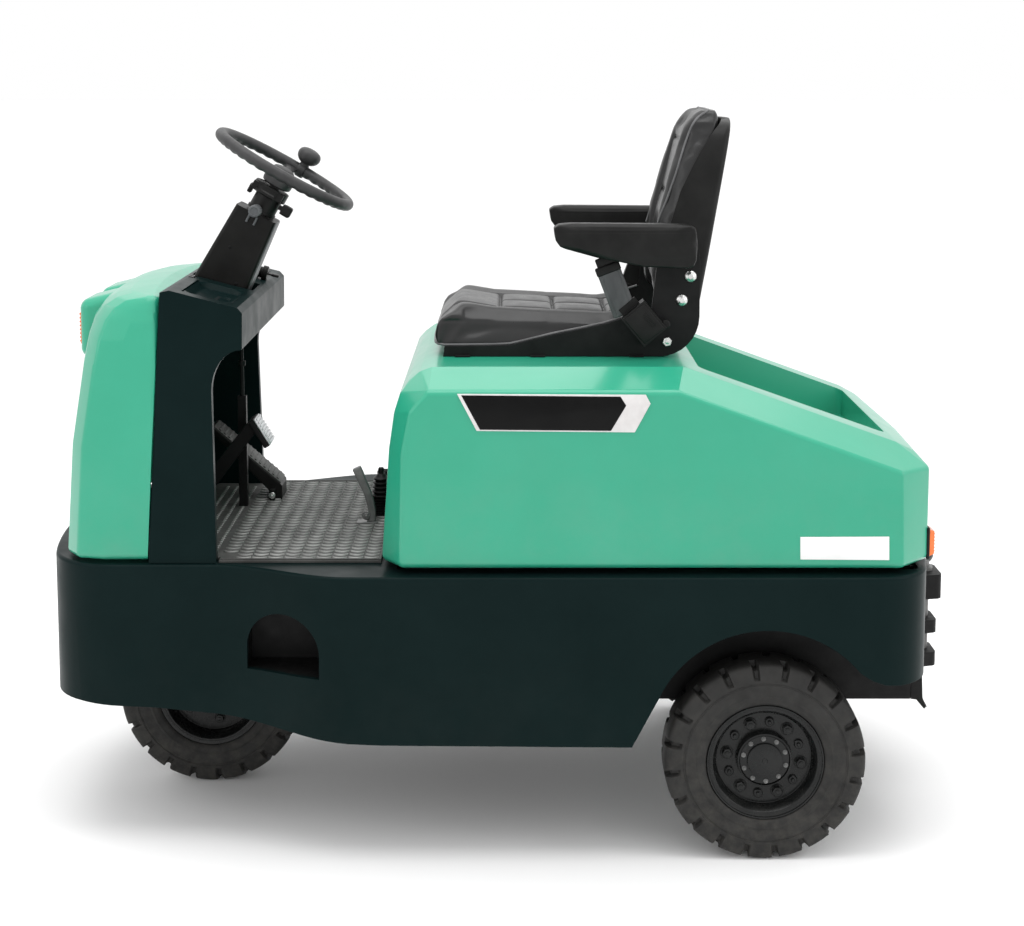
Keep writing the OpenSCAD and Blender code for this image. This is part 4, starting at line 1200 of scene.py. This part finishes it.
# ---------------------------------------------------------------- tyres and wheels
def tyre(name, x, y, body, node_name, phase):
    R, w = 207.5, 56.0
    half = [(121.8, 47.5), (126, 51.5), (131, 53.6), (136, 54.6), (137.5, 55.6), (140.5, 55.6), (142, 54.7), (150, 55.2), (158, 55.6), (164, 55.6),
            (165.5, 54.0), (168, 54.0), (169.5, 55.3), (175, 54.9), (180, 54.5), (184, 54.1), (188, 53.6), (192, 52.9), (195.5, 52.0), (198.6, 50.7), (201.4, 48.8), (203.6, 46.4),
            (205.2, 43.4), (206.2, 39.8), (206.9, 35.0), (207.3, 29.5), (207.5, 23.5), (207.5, 17.0), (207.5, 12.0), (207.5, 6.0), (207.5, 0.0)]
    prof = half + [(a, -b) for a, b in reversed(half[:-1])]
    n = len(prof)
    nrm = []
    for i in range(n):
        a, b = prof[max(0, i - 1)], prof[min(n - 1, i + 1)]
        t = Vector((b[0] - a[0], b[1] - a[1])).normalized()
        q = Vector((-t.y, t.x))
        if q.dot(Vector((prof[i][0] - 150, prof[i][1]))) < 0:
            q = -q
        nrm.append(q)
    lugs, N = 20, 480
    pitch = 2 * math.pi * R / lugs
    v, f = [], []

    def sm(a, b, t):
        t = min(1.0, max(0.0, (t - a) / (b - a)))
        return t * t * (3 - 2 * t)

    for i in range(N):
        a = 2 * math.pi * i / N
        for j, (r, h) in enumerate(prof):
            side = 0.0 if h > 0 else 0.5
            skew = (abs(h) - 30) * 0.10
            ph = (a * lugs / (2 * math.pi) + side + phase) % 1.0
            dist = abs((ph - 0.5) * pitch + skew)
            cut = (1 - sm(5.0, 7.4, dist)) * sm(11, 17, abs(h)) * sm(175.5, 181.5, r)
            depth = 12.0 * cut
            rr, hh = r - nrm[j].x * depth, h - nrm[j].y * depth * 0.8
            v.append((rr * math.cos(a), rr * math.sin(a), hh))
    for i in range(N):
        for j in range(n - 1):
            a, b = i * n, ((i + 1) % N) * n
            f.append((a + j, b + j, b + j + 1, a + j + 1))
        f.append((((i + 1) % N) * n, i * n, i * n + n - 1, ((i + 1) % N) * n + n - 1))
    k = Kit()
    k.add(v, f, at((x, y, 207.5), (0, 1, 0), (1, 0, 0)))
    o = k.done(name, "tyre", body, 32)
    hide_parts(node_name)


tyre("rear_tyre_left_lugs", -525, 434, "rear_wheel_left", "rear_tyre_left", 0.1)
tyre("rear_tyre_right_lugs", -525, -434, "rear_wheel_right", "rear_tyre_right", 0.3)
tyre("front_tyre_lugs", 680, 0, "front_wheel", "front_tyre", 0.2)

for side, s in (("left", 1), ("right", -1)):
    y0 = s * 434
    k = Kit()
    for i in range(12):
        a = RAD(30 * i + 8)
        p = Vector((-525 + 77 * math.cos(a), y0 + s * 16, 207.5 + 77 * math.sin(a)))
        if i % 2 == 0:
            k.hexbolt(p, (0, s, 0), 19, 12, 13.5, i * 0.13)
        else:
            k.lathe([(0, 0), (9.5, 0), (9.5, 5), (8, 6.5), (4, 6.5), (4, 11), (3, 12), (0, 12)], at(p, (0, s, 0)), 20)
    k.lathe([(52.6, 0), (58, 1), (58.5, 6), (57, 20), (55.6, 27), (52.6, 28.5)], at((-525, y0 + s * 8, 207.5), (0, s, 0)), 56)
    k.lathe([(0, 0), (36, 0), (36.5, 2), (35.5, 5), (32, 6.2), (6, 6.6), (5, 5.4), (0, 5.4)], at((-525, y0 + s * 34, 207.5), (0, s, 0)), 48)
    # beads of the two-piece rim
    for rr, yy in ((118.5, 47.5), (113.5, 44.0), (108.5, 40.0), (101.5, 30.0)):
        k.lathe([(rr - 1.6, yy - 2), (rr + 1.4, yy - 2), (rr + 2.4, yy), (rr + 1.2, yy + 2.2), (rr - 1.4, yy + 2.0), (rr - 2.2, yy)], at((-525, y0, 207.5), (0, s, 0)), 96)
    k.done("rear_hub_" + side, "rim", "rear_wheel_" + side, 35)
    k = Kit()
    for i in range(10):
        a = RAD(36 * i + 14)
        k.hexbolt((-525 + 45 * math.cos(a), y0 + s * 34, 207.5 + 45 * math.sin(a)), (0, s, 0), 7.5, 4.5, 5, i * 0.2)
    k.done("rear_hub_bolts_" + side, "lever_steel", "rear_wheel_" + side, 35)
k = Kit()
for s in (-1, 1):
    for i in range(6):
        a = RAD(60 * i + 20)
        k.hexbolt((680 + 72 * math.cos(a), s * 7, 207.5 + 72 * math.sin(a)), (0, s, 0), 18, 11, 12, i * 0.2)
    k.lathe([(113.5 - 1.6, 42.5), (113.5 + 1.4, 42.5), (113.5 + 2.4, 44.5), (113.5 + 1.2, 46.7), (113.5 - 1.4, 46.5), (113.5 - 2.2, 44.5)], at((680, 0, 207.5), (0, s, 0)), 96)
k.done("front_hub_bolts", "rim", "front_wheel", 35)
k = Kit()
for s in (-1, 1):
    k.hexbolt((680, s * 90, 207.5), (0, s, 0), 30, 12, 0)
k.done("front_axle_nuts", "zinc", "steer_fork", 35)

# ---------------------------------------------------------------- lamps, coupling, hinges
k = Kit()
for s in (-1, 1):
    k.lathe([(36.2, 0), (38.6, 0.5), (39.4, 3), (38.2, 6), (35.0, 7.5), (33.6, 6.6), (34.2, 2)], at((918.5, s * 86, 1062), (1, 0, 0)), 48)
k.done("headlamp_bezels", "chrome", "chassis", 40)
k = Kit()
for s in (-1, 1):
    for i in range(8):
        z = 1062 - 30 + i * 8.4
        y = s * 145
        k.box((929, y - 12, z), (931.6, y + 12, z + 3.4), 1.0, 2)
k.done("indicator_ribs", "amber", "chassis", 40)
k = Kit()
for s in (-1, 1):
    y0, y1 = sorted((s * 352, s * 408))
    k.box((-866.5, y0, 615), (-860, y1, 681), 2, 2)
k.done("rear_lamp_bases", "black_plastic", "hood", 40)
k = Kit()
for s in (-1, 1):
    y0, y1 = sorted((s * 364, s * 396))
    for i in range(6):
        z = 628 + i * 7.2
        k.box((-879.4, y0, z), (-877, y1, z + 3), 0.9, 2)
k.done("rear_lamp_ribs", "red_lens", "hood", 40)
k = Kit()
for s in (-1, 1):
    for z in (300, 450):
        k.hexbolt((-916, s * 58, z), (-1, 0, 0), 16, 9, 12)
k.done("coupling_bolts", "zinc", "chassis", 40)
k = Kit()
for s in (-1, 1):
    for y in (121, 143):
        k.dome((-882, s * y, 650), (-1, 0, 0), 5.5, 3.2, 2.2)
k.done("hinge_screws", "zinc", "hood", 40)
